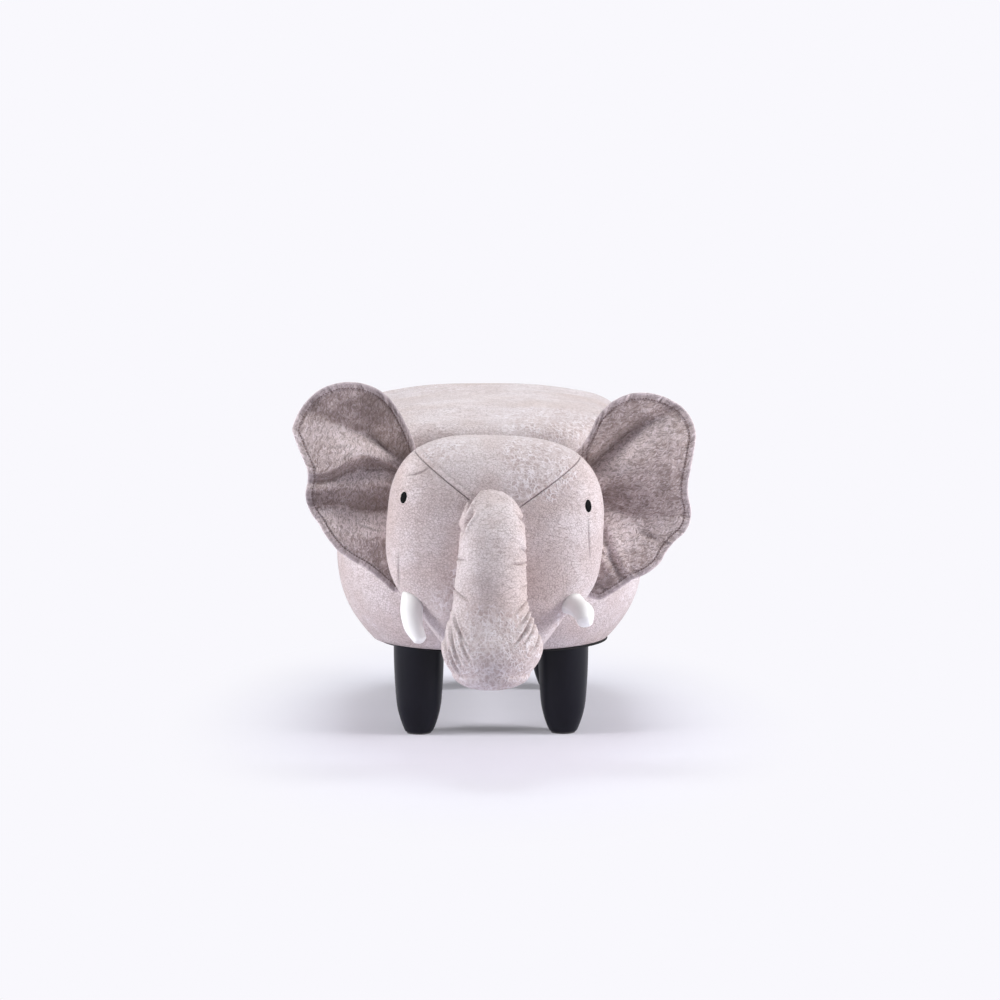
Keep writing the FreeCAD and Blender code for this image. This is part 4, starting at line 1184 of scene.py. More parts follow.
@dataclass
class Linings(Assembly):
    """Black cloth of the stool: dust cover below the base, bag inside the well, cloth under the lid."""

    dust_edge: float = -0.0038
    dust_shift: float = 0.0036
    dust_top: float = 0.0994
    dust_thick: float = 0.0020
    well_edge: float = -0.0146
    well_floor: float = 0.1158
    well_top: float = 0.2502
    well_round: float = 0.008
    lid_edge: float = 0.0235
    lid_level: float = 0.2520
    thick: float = 0.0009
    slack: float = 0.0011
    fold_depth: float = 0.0022
    hem_width: float = 0.004
    columns: int = 300
    face_rows: int = 40
    floor_rows: int = 34
    wall_rows: int = 46

    def disc(self, name: str, edge: float, low: float, high: float, seed: int,
             notches: Sequence[str] = ()) -> Piece:
        """A flat cloth: outlines from the middle out on its upper face, round the hem, and back below.

        Its lower face sags by soft noise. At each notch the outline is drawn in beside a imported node.

        Args:
            name: name of the piece.
            edge: swell of its outline.
            low: height of its lower face.
            high: height of its upper face.
            seed: which noise is drawn.
            notches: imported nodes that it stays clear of, on the left.

        Returns:
            The piece.
        """
        plan = self.plan
        out = edge - (plan.corner + edge) * np.linspace(0.96, 0.0, self.face_rows) ** 1.3
        turn = np.linspace(0.0, math.pi, 7)[1:-1]
        half = (high - low) / 2
        swells = np.concatenate([out, edge + half * np.sin(turn), out[::-1]])
        hem_levels = low + half + half * np.cos(turn)
        levels = np.concatenate([np.full(self.face_rows, high), hem_levels, np.full(self.face_rows, low)])
        rows = plan.rows(swells, levels, self.columns)
        inside = smooth_step(edge - swells, 0.0, 0.03)[:, None]
        lower = (levels < low + half)[:, None]
        rows[..., 2] -= self.slack * inside * lower * np.abs(soft_noise(rows, 0.045, seed))
        for node in notches:
            near, far = (np.array(corner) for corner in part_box(node))
            beside = (smooth_step(rows[..., 1], near[1] - 0.004, near[1] - 0.001)
                      * (1 - smooth_step(rows[..., 1], far[1] + 0.001, far[1] + 0.004)))
            limit = far[0] + 0.002
            past = np.clip(limit / np.minimum(rows[..., 0].min(axis=0), limit), 0.0, 1.0)[None, :]
            rows[..., 0] *= np.where(rows[..., 0] < 0, 1 - beside * (1 - past), 1.0)
        middle = np.array([0.0, plan.middle_y, 0.0])
        # Painted shade along the rolled hem.
        hem = bell(edge - swells, self.hem_width)[:, None] * np.ones(rows.shape[:2])
        return skin(name, rows, middle + [0, 0, high], middle + [0, 0, low], fold=0.5 * hem)

    def bag(self) -> Piece:
        """The well's lining: from the middle of its floor out, up the wall, over the hem and back outside.

        The wall stands in soft upright folds, deeper half way up, by noise that is long in height.

        Returns:
            The piece.
        """
        plan = self.plan
        edge, radius, bottom = self.well_edge, self.well_round, self.well_floor
        turn = np.linspace(0.0, math.pi / 2, 9)[1:-1]
        floor = edge - radius - (plan.corner + edge - radius) * np.linspace(0.97, 0.0, self.floor_rows) ** 1.2
        wall = np.linspace(bottom + radius, self.well_top - self.thick, self.wall_rows)
        inner = np.concatenate([floor, edge - radius + radius * np.sin(turn), np.full(self.wall_rows, edge)])
        corner = bottom + radius * (1 - np.cos(turn))
        heights = np.concatenate([np.full(self.floor_rows, bottom), corner, wall])
        below = self.thick * (heights < bottom + radius)
        roll = np.linspace(0.0, math.pi, 7)[1:-1]
        half = self.thick / 2
        swells = np.concatenate([inner, edge + half - half * np.cos(roll), (inner + self.thick)[::-1]])
        levels = np.concatenate([heights, wall[-1] + half * np.sin(roll), (heights - below)[::-1]])
        rows = plan.rows(swells, levels, self.columns)
        height = levels[:, None] - bottom
        loose = smooth_step(height, 0.004, 0.03) * (1 - smooth_step(height, 0.10, 0.128))
        folds = 0.5 + 0.5 * soft_noise(rows * np.array([1, 1, 0.22]), 0.021, 112)
        middle = np.array([0.0, plan.middle_y, 0.0])
        outward = unit((rows - middle) * np.array([1, 1, 0]))
        rows = rows - outward * (self.fold_depth * loose * folds)[..., None]
        flat = 1 - smooth_step(height, 0.001, 0.006)
        rows[..., 2] += self.slack * flat * np.abs(soft_noise(rows, 0.04, 113))
        # Painted shade along the hem at the top and in the hollows between the wall's folds.
        hem = bell(self.well_top - levels[:, None], self.hem_width)
        fold = np.clip(0.4 * hem + 0.3 * (1 - folds) * loose, 0, 1)
        return skin("well_lining_cloth", rows, middle + [0, 0, bottom], middle + [0, 0, bottom - self.thick],
                    fold=fold)

    def cut_area(self, edge: float) -> tuple[Pair, float]:
        """Width and length of an outline, and its area: the rectangle less what round corners leave out."""
        plan = self.plan
        wide, long, corner = plan.half_width + edge, plan.half_length + edge, plan.corner + edge
        return (2 * wide, 2 * long), 4 * wide * long - (4 - math.pi) * corner ** 2

    def build(self) -> None:
        """Make the three cloths and work out what each was cut from, without keeping it."""
        dust_low = self.dust_top - self.dust_thick
        dust = self.disc("dust_cover_cloth", self.dust_edge, dust_low, self.dust_top, 111)
        dust.data.transform(Matrix.Translation((self.dust_shift, 0.0, 0.0)))
        dress(dust, self.finishes.dust, Body.BOX, ("dust_cover",))
        flat, area = self.cut_area(self.dust_edge)
        bag = self.bag()
        dress(bag, self.finishes.lining, Body.BOX, ("storage_lining",))
        (wide, long), area = self.cut_area(self.well_edge)
        deep = self.well_top - self.well_floor
        straight = 2 * (wide + long) - (8 - TURN) * (self.plan.corner + self.well_edge)
        wide + 2 * deep
        long + 2 * deep
        area + straight * deep
        under = self.disc("lid_lining_cloth", self.lid_edge, self.lid_level, self.lid_level + self.thick, 114,
                          ("hinge_front_leaf_lid", "hinge_rear_leaf_lid"))
        dress(under, self.finishes.lining, Body.LID, ("lid_lining",))
        flat, area = self.cut_area(self.lid_edge)


# Head


@dataclass
class Head(Assembly):
    """Stuffed head: a leaning rounded square that swells to a face, with a V of seams above the trunk.

    Places on the head are given in its own leaning frame, across to the right and above its middle.
    """

    centre_x: float = 0.001
    centre_z: float = 0.245
    half_width: float = 0.116
    half_height: float = 0.100
    lean: float = math.radians(-2.5)
    outline_power: float = 2.9
    face_power: float = 2.6
    middle: float = -0.039
    depth: float = 0.078
    back_gap: float = 0.0015
    back_draw: float = 0.1
    columns: int = 320
    face_rows: int = 120
    seam_left: tuple[Pair, Pair] = ((-0.034, 0.0416), (-0.0912, 0.0825))
    seam_right: tuple[Pair, Pair] = ((0.0272, 0.0368), (0.0868, 0.0814))
    groove: Pair = (0.0010, 0.0007)
    lip: Triple = (0.0004, 0.0022, 0.0030)
    second: Triple = (0.0003, 0.0009, 0.0066)
    darts: tuple[Crease, ...] = (
        Crease((-71.5, 70), (-100, 57.5), 1, 0.8, -2.2), Crease((96.1, 26.2), (100.7, -24.3), 0.6, 1),
        Crease((-102.5, -22), (-100, -67.9), 0.5, 1),
    )
    chin_drop: float = 0.038
    chin_width: float = 0.067
    wave_height: float = 0.0010
    spots: tuple[Spot, ...] = (
        Spot((37, -95, 323), 36, 1.7), Spot((62, -85, 305), 24, 1.2),
        Spot((-53, -75, 337), 28, 0.8), Spot((-50, -95, 175), 30, 1.0),
        Spot((-40, -100, 205), 20, 0.6), Spot((85, -60, 300), 20, 0.4),
        Spot((60, -80, 165), 30, 0.4), Spot((-20, -80, 130), 30, 0.8),
    )

    def share_at(self, across: Array, above: Array) -> Array:
        """Share of the full outline on which a place lies, by the rounded-square measure."""
        power = self.outline_power
        return ((np.abs(across) / self.half_width) ** power
                + (np.abs(above) / self.half_height) ** power) ** (1 / power)

    def face_y(self, across: Array, above: Array) -> Array:
        """Y of the face: the widest place less the depth times a rounded-square curve of the share."""
        share = np.minimum(self.share_at(across, above), 1.0)
        power = self.face_power
        return self.plan.front_y + self.middle - self.depth * (1 - share ** power) ** (1 / power)

    def world(self, across: Array, y: Array, above: Array) -> Array:
        """Points of the leaning frame: turned about Y by the lean and moved to the middle of the head.

        Args:
            across: to the right in the leaning frame.
            y: Y.
            above: up in the leaning frame.

        Returns:
            Points as (..., xyz).
        """
        turn_cos, turn_sin = math.cos(self.lean), math.sin(self.lean)
        x = self.centre_x + across * turn_cos - above * turn_sin
        z = self.centre_z + across * turn_sin + above * turn_cos
        return np.stack([x, y, z], axis=-1)

    def seam_crossing(self) -> Array:
        """Place where the two lines of the V meet, which is the middle of the face's grid."""
        (a, b), (c, d) = (np.array(seam) for seam in (self.seam_left, self.seam_right))
        steps = np.linalg.solve(np.stack([b - a, c - d], axis=1), c - a)
        return a + (b - a) * steps[0]

    def outline(self, angle: Array) -> tuple[Array, Array]:
        """Rounded-square outline at angles: each half size times a signed power of cosine or sine."""
        power = 2 / self.outline_power
        return (self.half_width * signed_power(np.cos(angle), power),
                self.half_height * signed_power(np.sin(angle), power))

    def seam_angle(self, seam: tuple[Pair, Pair]) -> float:
        """Angle whose outline place lies on the line of a seam.

        Args:
            seam: start and end of the seam.

        Returns:
            The angle, in the upper half of a turn.
        """
        middle = self.seam_crossing()
        fine = np.linspace(0.0, math.pi, 4000)
        across, above = self.outline(fine)
        run = np.array(seam[1]) - middle
        return float(fine[np.argmin(np.abs((across - middle[0]) * run[1] - (above - middle[1]) * run[0]))])

    def grid(self) -> tuple[Array, Array, Array]:
        """Places of the head's grid in its own frame, from the back's middle to the face's middle.

        The back is a disc with a rolled edge, the side narrows backward by a parabola, and the face is rings
        drawn together towards the crossing of the seams, its depth read from the face curve.

        Returns:
            Across, Y and above, each as (row, column).
        """
        seams = [self.seam_angle(seam) for seam in (self.seam_left, self.seam_right)]
        angle = crowded(self.columns, seams, gain=5, spread=0.03)
        wide, high = self.outline(angle)
        back = self.plan.front_y - self.back_gap
        run = -self.middle - self.back_gap
        joint = 0.75
        joint_share = 1 - self.back_draw * joint ** 2
        disc = np.linspace(0.08, 1.0, 18) ** 0.8
        disc_y = back - run * (1 - joint) * disc ** 10
        step = np.linspace(joint, 0.0, 16)[1:]
        side_share = 1 - self.back_draw * step ** 2
        side_y = self.plan.front_y + self.middle + run * step
        rear_share = np.concatenate([disc * joint_share, side_share])
        rear_y = np.concatenate([disc_y, side_y])
        turn = np.linspace(0.0, math.pi / 2, self.face_rows + 1)[1:-1]
        face_share = np.cos(turn)[:, None] ** (2 / self.face_power)
        middle = self.seam_crossing()
        face_across = wide[None] * face_share + middle[0] * (1 - face_share)
        face_above = high[None] * face_share + middle[1] * (1 - face_share)
        across = np.concatenate([wide[None] * rear_share[:, None], face_across])
        above = np.concatenate([high[None] * rear_share[:, None], face_above])
        rear = np.repeat(rear_y[:, None], self.columns, axis=1)
        y = np.concatenate([rear, self.face_y(face_across, face_above)])
        return across, y, above

    def chin(self, across: Array, above: Array) -> Array:
        """How far the lower middle hangs down: a broad bell across, growing towards the lower edge."""
        low = smooth_step(-above / self.half_height, 0.35, 1.0)
        return self.chin_drop * low * np.exp(-(across / self.chin_width) ** 6)

    def seams(self, across: Array, above: Array) -> tuple[Array, Array]:
        """Heights and depths of the V seams, the dart above an eye and the faint darts of the cheeks.

        A seam is a narrow groove with a raised lip and a second line along the forehead's side of it, each
        a bell curve by its height, width and distance from the groove.

        Args:
            across: to the right in the leaning frame.
            above: up in the leaning frame.

        Returns:
            Heights, and depths from 0 to 1.
        """
        height = np.zeros_like(across)
        deep = np.zeros_like(across)
        middle = self.seam_crossing()
        for seam, welt in ((self.seam_left, 1.0), (self.seam_right, 0.3)):
            start, end = (np.array(place) for place in seam)
            run = (end - start) / np.hypot(*(end - start))
            reach = (across - middle[0]) * run[0] + (above - middle[1]) * run[1]
            off = (above - middle[1]) * run[0] - (across - middle[0]) * run[1]
            off = off * np.sign(run[0])
            fade = smooth_step(reach, 0.02, 0.035)
            groove = bell(off, self.groove[1]) * fade
            lip = bell(off - self.lip[2], self.lip[1]) * fade
            second = bell(off - self.second[2], self.second[1]) * fade * welt
            height += self.lip[0] * lip - self.groove[0] * groove - self.second[0] * second
            deep = np.maximum(deep, np.maximum(0.9 * groove, 0.28 * second))
        rise, valley = pressed(self.darts, across, above)
        front = 1.0 * (self.share_at(across, above) < 0.999)
        return (height + rise) * front, np.maximum(deep, 0.7 * valley) * front

    def build(self) -> None:
        """Make the cover, fill it, then sew the seams into it."""
        across, y, above = self.grid()
        rows = self.world(across, y, above)
        front = self.plan.front_y
        on_face = smooth_step(front - y, 0.02, 0.05)
        rows[..., 2] -= self.chin(across, above) * smooth_step(front - y, 0.004, 0.05)
        middle = self.seam_crossing()
        first = self.world(np.array(0.0), np.array(front - self.back_gap), np.array(0.0))
        last = self.world(middle[0], self.face_y(middle[0], middle[1]), middle[1])
        rows = rows + self.stuffing.swell(rows, first, last) * on_face[..., None]
        height, deep = self.seams(across, above)
        waves = waviness(rows, (0.7, 0.055, 61), (0.3, 0.022, 62))
        rows = rows + grid_normals(rows) * (height + on_face * self.wave_height * waves)[..., None]
        wear = worn(rows, self.spots, 63, front)
        # The depths of the seams and darts become painted shade in their grooves.
        piece = skin("head_cover_stuffed", rows, first, last, wear=wear, fold=deep)
        dress(piece, self.finishes.leather, Body.BOX, ("head_cover", "head_filling"))


@dataclass
class Eyes(Assembly):
    """Embroidered black ovals: low domes of side-by-side satin stitches."""

    head: Head
    places: tuple[tuple[str, float, float, float], ...] = (
        ("left", -0.0965, 0.2845, math.radians(11)), ("right", 0.0985, 0.2755, math.radians(-10)))
    half_width: float = 0.0038
    half_height: float = 0.0074
    rise: float = 0.0014
    sunk: float = 0.0006
    rib: float = 0.00035
    threads: int = 15

    def build(self) -> None:
        """Make each oval on the face: a dome over an oval, ribbed across by its threads."""
        head = self.head
        turn_cos, turn_sin = math.cos(head.lean), math.sin(head.lean)
        angle = np.linspace(0.0, TURN, 72, endpoint=False)[None, :]
        share = np.linspace(1.0, 0.02, 40)[:, None]
        wide, high = self.half_width * share * np.cos(angle), self.half_height * share * np.sin(angle)
        ribs = np.abs(np.sin(self.threads * math.pi * share * np.sin(angle)))
        dome = self.rise * (1 - share ** 4) + self.rib * ribs * (1 - share ** 8)
        for side, x, z, tilt in self.places:
            dx, dz = x - head.centre_x, z - head.centre_z
            across = dx * turn_cos + dz * turn_sin + wide * math.cos(tilt) + high * math.sin(tilt)
            above = dz * turn_cos - dx * turn_sin + high * math.cos(tilt) - wide * math.sin(tilt)
            base = head.world(across, head.face_y(across, above), above)
            normal = grid_normals(base)
            rows = base + normal * (dome - self.sunk)[..., None]
            last = rows[-1].mean(axis=0)
            first = base[0].mean(axis=0) - normal[0].mean(axis=0) * 0.003
            piece = skin("eye_" + side + "_embroidery", rows, first, last)
            dress(piece, self.finishes.eye, Body.BOX, ("eye_" + side,))


# Limbs


@dataclass(frozen=True)
class Limb:
    """A tapering stuffed tube through stations of x, y, z, half width and half depth, in millimetres.

    Its sections stand square to the path, or, where dips are given, face forward and down by an angle
    for each station, in degrees.
    """

    stations: Stations
    shift_y: float
    tip: float
    dips: tuple[float, ...] = ()

    def rows(self, along: int, around: int, cap_rows: int) -> tuple[Array, Array, Array, Array]:
        """Grid of oval sections across the path, rounded off at the far end.

        The sections have their width along X. The end is half an oval: the last section times a cosine,
        carried forward by a sine times the tip length.

        Args:
            along: rows on the path.
            around: columns.
            cap_rows: rows of the rounded end.

        Returns:
            Points, the distance of each row along the path, the angle of each column, and the end point.
        """
        table = np.array(self.stations) * MM + np.array([0.0, self.shift_y, 0.0, 0.0, 0.0])
        dips = np.radians(self.dips if self.dips else np.zeros(len(table)))
        values = smooth_path(np.column_stack([table, dips]), np.linspace(0.0, 1.0, along))
        turn = np.linspace(0.0, math.pi / 2, cap_rows + 1)[1:-1]
        forward = np.gradient(values[:, :3], axis=0)
        if self.dips:
            forward = np.stack([np.zeros(along), -np.cos(values[:, 5]), -np.sin(values[:, 5])], axis=-1)
        forward = unit(forward)
        cap = np.repeat(values[-1:], len(turn), axis=0)
        cap[:, :3] += forward[-1] * (self.tip * np.sin(turn))[:, None]
        cap[:, 3:5] *= np.cos(turn)[:, None]
        values = np.concatenate([values, cap])
        forward = np.concatenate([forward, np.repeat(forward[-1:], len(turn), axis=0)])
        across = unit(np.array([1.0, 0.0, 0.0]) - forward * forward[:, :1])
        up = np.cross(forward, across)
        angle = np.linspace(0.0, TURN, around, endpoint=False)
        sides = across[:, None] * (values[:, 3, None] * np.cos(angle))[..., None]
        heights = up[:, None] * (values[:, 4, None] * np.sin(angle))[..., None]
        points = values[:, None, :3] + sides + heights
        return points, distances(values[:, :3]), angle, values[along - 1, :3] + forward[-1] * self.tip


@dataclass
class Trunk(Assembly):
    """Stuffed trunk sewn of a front and a back panel, gathered along the two side seams.

    Its folds are places seen from the front: across and up.
    """

    stations: Stations = (
        (-5, -50, 268, 31, 29), (-5, -97, 268, 32.5, 31), (-4, -130, 247, 35, 34),
        (-6, -147, 208, 37.6, 35), (-7, -151, 174, 41.4, 36), (-5, -159, 152, 49, 39),
        (-4.5, -164, 138, 53, 42), (-5, -166, 124, 50, 42), (-6, -167, 110, 41, 36),
    )
    dips: tuple[float, ...] = (0, 8, 45, 75, 85, 88, 88, 88, 88)
    tip: float = 0.0175
    folds: tuple[Crease, ...] = (
        Crease((-17, 296), (-34, 270), 5, 1.6, 2), Crease((-22.5, 277), (-37, 251), 4.6, 1.6, 1.8),
        Crease((-28, 288), (-35.5, 272), 2.6, 1.1, 1.2), Crease((20, 273.5), (33.5, 254), 2.2, 1.1, -1.4),
        Crease((22.5, 243), (34.5, 225), 2.4, 1.1, -1.4), Crease((13, 225.5), (36.5, 223), 2.6, 1.1, 0.8),
        Crease((24, 200), (36.5, 200.5), 1.8, 1, 0.5), Crease((16, 174), (38.5, 191), 2.6, 1.2, 1.2),
        Crease((19, 161), (40.5, 182), 2.6, 1.3, 1.8), Crease((15, 144), (40.5, 179), 3, 1.4, 3.4),
        Crease((24, 143), (42.5, 170), 2, 1.1, 3), Crease((33, 133), (45.5, 156), 1.6, 1.1, 2.2),
        Crease((-48, 223), (-31, 229), 2.2, 1.1, -0.8), Crease((-50, 200), (-29, 188), 2.4, 1.2, 1.2),
        Crease((-46, 178), (-30, 143), 2.6, 1.3, 3.2), Crease((-49, 169), (-36, 120), 2.8, 1.3, 4),
        Crease((-55, 156), (-42, 108), 3, 1.4, 4), Crease((-51, 145), (-33, 107), 2.2, 1.2, 3.4),
        Crease((-40, 160), (-27, 126), 1.4, 1.2, 2.4),
    )
    seam_lift: float = -0.12
    seam_width: float = 0.0020
    seam_depth: float = 0.0012
    gather_pitch: float = 0.011
    gather_reach: float = 0.007
    gather_depth: float = 0.0008
    wrinkle_height: float = 0.00022
    wave_height: float = 0.0009
    bend_at: float = 0.10
    bend_reach: float = 0.05
    girth: float = 0.040
    spots: tuple[Spot, ...] = (
        Spot((-5, -200, 125), 50, 1.0), Spot((-20, -195, 150), 35, 0.8),
        Spot((20, -195, 140), 30, 0.7), Spot((12, -160, 262), 20, 0.3),
    )

    def build(self) -> None:
        """Make the tube, fill it, then draw in the side seams with their gathers and folds.

        The gathers are sine waves along the seams, shifted and broken up by noise; wrinkles are fine noise,
        stronger where the trunk bends.
        """
        limb = Limb(self.stations, self.plan.front_y, self.tip, self.dips)
        rows, run, angle, last = limb.rows(along=210, around=220, cap_rows=24)
        first = rows[0].mean(axis=0)
        right, left = turn_gap(angle, self.seam_lift), turn_gap(angle, math.pi - self.seam_lift)
        seam_gap = np.minimum(np.abs(right), np.abs(left))[None, :] * self.girth
        seam = bell(seam_gap, self.seam_width) * np.ones((len(run), 1))
        rows = rows + self.stuffing.swell(rows, first, last)
        normal = grid_normals(rows)
        noise = soft_noise(rows, 0.03, 71)
        phase = TURN * run[:, None] / self.gather_pitch + 2.6 * noise + 3.0 * (np.cos(angle)[None, :] > 0)
        strength = np.clip(0.5 + 0.8 * soft_noise(rows * np.array([0.3, 1, 1]), 0.045, 72), 0.0, 1.0)
        gather = np.sin(phase) * np.exp(-seam_gap / self.gather_reach) * strength
        pinch, deep = pressed(self.folds, rows[..., 0], rows[..., 2])
        facing = smooth_step(-normal[..., 1] + 0.5 * normal[..., 2], -0.15, 0.1)
        wrinkle = soft_noise(rows * np.array([0.4, 1, 1.2]), 0.006, 73)
        bend = bell(run[:, None] - self.bend_at, self.bend_reach)
        height = (self.gather_depth * gather - self.seam_depth * seam + pinch * facing
                  + self.wrinkle_height * wrinkle * (0.4 + bend) + self.wave_height * noise)
        rows = rows + normal * height[..., None]
        # Painted shade: darker along the side seams, in the hollows of the gathers and in the forward-facing
        # folds.
        fold = np.clip(0.4 * seam + 0.3 * np.clip(-gather, 0, 1) ** 2 + 0.85 * deep ** 2 * facing, 0.0, 1.0)
        wear = worn(rows, self.spots, 74, self.plan.front_y)
        piece = skin("trunk_cover_stuffed", rows, first, last, wear=wear, fold=fold)
        dress(piece, self.finishes.leather, Body.BOX, ("trunk_cover", "trunk_filling"))


@dataclass
class Tusks(Assembly):
    """Two stuffed white cloth tusks, each with a seam along its inner side and a pinched end."""

    left: Stations = (
        (-81, -44, 187, 12, 11.2), (-86.8, -74, 174, 12.4, 11.6), (-88, -88, 160, 11.8, 11.2),
        (-85.8, -95, 147, 10, 9.5), (-80.4, -99, 135.5, 7.6, 7.2),
    )
    right: Stations = (
        (65.5, -50, 179, 15.5, 14.5), (78.5, -80, 172.2, 14.2, 13.2), (87.2, -98, 168.2, 11, 10.6),
        (93.2, -113, 164, 10.6, 10), (93.8, -121, 157.5, 8.8, 8.4),
    )
    tip: float = 0.0052
    seam_angles: Pair = (0.12 * math.pi, 1.1 * math.pi)
    seam_width: float = 0.10
    seam_depth: float = 0.0006
    crumple_height: float = 0.0006
    wave_height: float = 0.0007
    end_reach: float = 0.018

    def build(self) -> None:
        """Make each tusk: an oval tube with a groove along its seam and soft creases near the end."""
        both = zip(("left", "right"), (self.left, self.right), self.seam_angles, (81, 82))
        for side, stations, seam_angle, seed in both:
            limb = Limb(stations, self.plan.front_y, self.tip)
            rows, run, angle, last = limb.rows(along=70, around=72, cap_rows=12)
            first = rows[0].mean(axis=0)
            seam = bell(turn_gap(angle, seam_angle)[None, :], self.seam_width) * np.ones((len(run), 1))
            ends = smooth_step(run, run[-1] - self.end_reach, run[-1])[:, None]
            crumple = soft_noise(rows * np.array([1, 1, 0.5]), 0.007, seed)
            height = (self.crumple_height * crumple * (0.25 + ends) - self.seam_depth * seam
                      + self.wave_height * soft_noise(rows, 0.02, seed))
            rows = rows + grid_normals(rows) * height[..., None]
            # Painted shade along the seam groove and in the hollows of the crumpled end.
            fold = 0.6 * seam + 0.35 * ends * np.clip(-crumple, 0, 1)
            piece = skin("tusk_" + side + "_stuffed", rows, first, last, fold=fold)
            dress(piece, self.finishes.tusk, Body.BOX, ("tusk_" + side,))


@dataclass
class Tail(Assembly):
    """A short leather tail on the rear with a tuft of cut leather strips."""

    stem: Stations = (
        (0, -12, 226, 7.8, 7.8), (0, 8, 222, 7.8, 7.6), (0, 14.5, 196, 7.4, 6.6),
        (0, 14, 166, 7, 6.2),
    )
    tip: float = 0.003
    seam_width: float = 0.16
    seam_depth: float = 0.0009
    ripple_pitch: float = 0.009
    ripple_height: float = 0.00035
    tuft_top: Pair = (0.014, 0.170)
    strips: int = 11
    strip_length: float = 0.040
    strip_width: float = 0.0032
    strip_thick: float = 0.0008

    def build(self) -> None:
        """Make the stem, an oval tube with a grooved and rippled seam, then the strips of its tuft."""
        limb = Limb(self.stem, self.plan.rear_y, self.tip)
        rows, run, angle, last = limb.rows(along=80, around=48, cap_rows=8)
        gap = turn_gap(angle, math.pi / 2)[None, :]
        seam = bell(gap, self.seam_width) * np.ones((len(run), 1))
        ripple = np.sin(TURN * run[:, None] / self.ripple_pitch) * np.exp(-np.abs(gap) / 0.7)
        rows = rows + grid_normals(rows) * (self.ripple_height * ripple - self.seam_depth * seam)[..., None]
        # Painted shade along the seam groove.
        piece = skin("tail_stem", rows, rows[0].mean(axis=0), last,
                     wear=worn(rows, [], 91), fold=0.7 * seam)
        dress(piece, self.finishes.leather, Body.BOX, ("tail",))
        for number in range(self.strips):
            self.strip(number)

    def strip(self, number: int) -> None:
        """Make one strip: a rounded flat section carried down a line that bows outward by half a sine wave.

        Args:
            number: which strip round the end of the stem, from zero.
        """
        share = np.linspace(0.0, 1.0, 24)[:, None]
        corner = np.linspace(0.0, TURN, 16, endpoint=False)[None, :]
        top = np.array([0.0, self.plan.rear_y + self.tuft_top[0], self.tuft_top[1]])
        heading = TURN * number / self.strips
        outward = np.array([math.cos(heading), 0.65 * math.sin(heading), 0.0])
        sideways = np.array([-math.sin(heading), math.cos(heading), 0.0])
        length = self.strip_length * (0.85 + 0.15 * math.cos(2.3 * number))
        spread = 0.0045 + 0.0065 * np.sin(math.pi * share * 0.62)
        middle = top + outward * spread[..., None] - np.array([0, 0, 1.0]) * (length * share)[..., None]
        width = self.strip_width * (1 - 0.75 * smooth_step(share, 0.75, 1.0))
        rows = (middle + sideways * (width * signed_power(np.cos(corner), 0.5))[..., None]
                + outward * (self.strip_thick * signed_power(np.sin(corner), 0.5))[..., None])
        # Painted shade: each strip darker towards its top, where it meets the stem.
        piece = skin(f"tail_strip_{number + 1}", rows, rows[0].mean(axis=0), rows[-1].mean(axis=0),
                     wear=np.full(rows.shape[:2], 0.3), fold=0.4 * (1 - share) * np.ones_like(corner))
        dress(piece, self.finishes.leather, Body.BOX)


@dataclass
class Neck(Assembly):
    """Soft collar between the box and the head, drawn into folds."""

    half_width: float = 0.088
    half_height: float = 0.047
    height: float = 0.198
    folds: int = 30
    fold_height: float = 0.0009
    bulge: float = 0.0015
    rear: float = 0.030
    length: float = 0.036

    def build(self) -> None:
        """Make an oval sleeve from inside the box's front to inside the head, rippled round its girth."""
        angle = np.linspace(0.0, TURN, 240, endpoint=False)[None, :]
        share = np.linspace(0.0, 1.0, 26)[:, None]
        y = self.plan.front_y + self.rear - self.length * share
        ripple = np.sin(self.folds * angle + 1.3 * np.sin(3 * angle)) * (0.4 + 0.6 * share)
        swell = self.fold_height * ripple + self.bulge * (np.sin(math.pi * share) - 1)
        x = (self.half_width + swell) * np.cos(angle)
        z = self.height + (self.half_height + swell) * np.sin(angle)
        rows = np.stack([x, y * np.ones_like(angle), z], axis=-1)
        # Painted shade in the hollows between the folds.
        piece = skin("neck_collar_gathered", rows, rows[0].mean(axis=0), rows[-1].mean(axis=0),
                     wear=worn(rows, [], 95), fold=np.clip(-ripple, 0.0, 1.0) * 0.5)
        dress(piece, self.finishes.leather, Body.BOX, ("neck_collar",))


# Ears


@dataclass(frozen=True)
class FoldLine:
    """A ridge or valley that runs across an ear, given at some distances from its middle.

    Each place is distance, height and how far the cloth stands back there, in millimetres. A keen line is
    a crease, and one that isn't is round.
    """

    places: tuple[Triple, ...]
    keen: float = 0.0

    def read(self, reach: Array) -> tuple[Array, Array]:
        """Height and standing back of the line at distances from the middle."""
        table = np.array(self.places) * MM
        values = eased(table[:, 0], table[:, 1:], reach)
        return values[..., 0], values[..., 1]


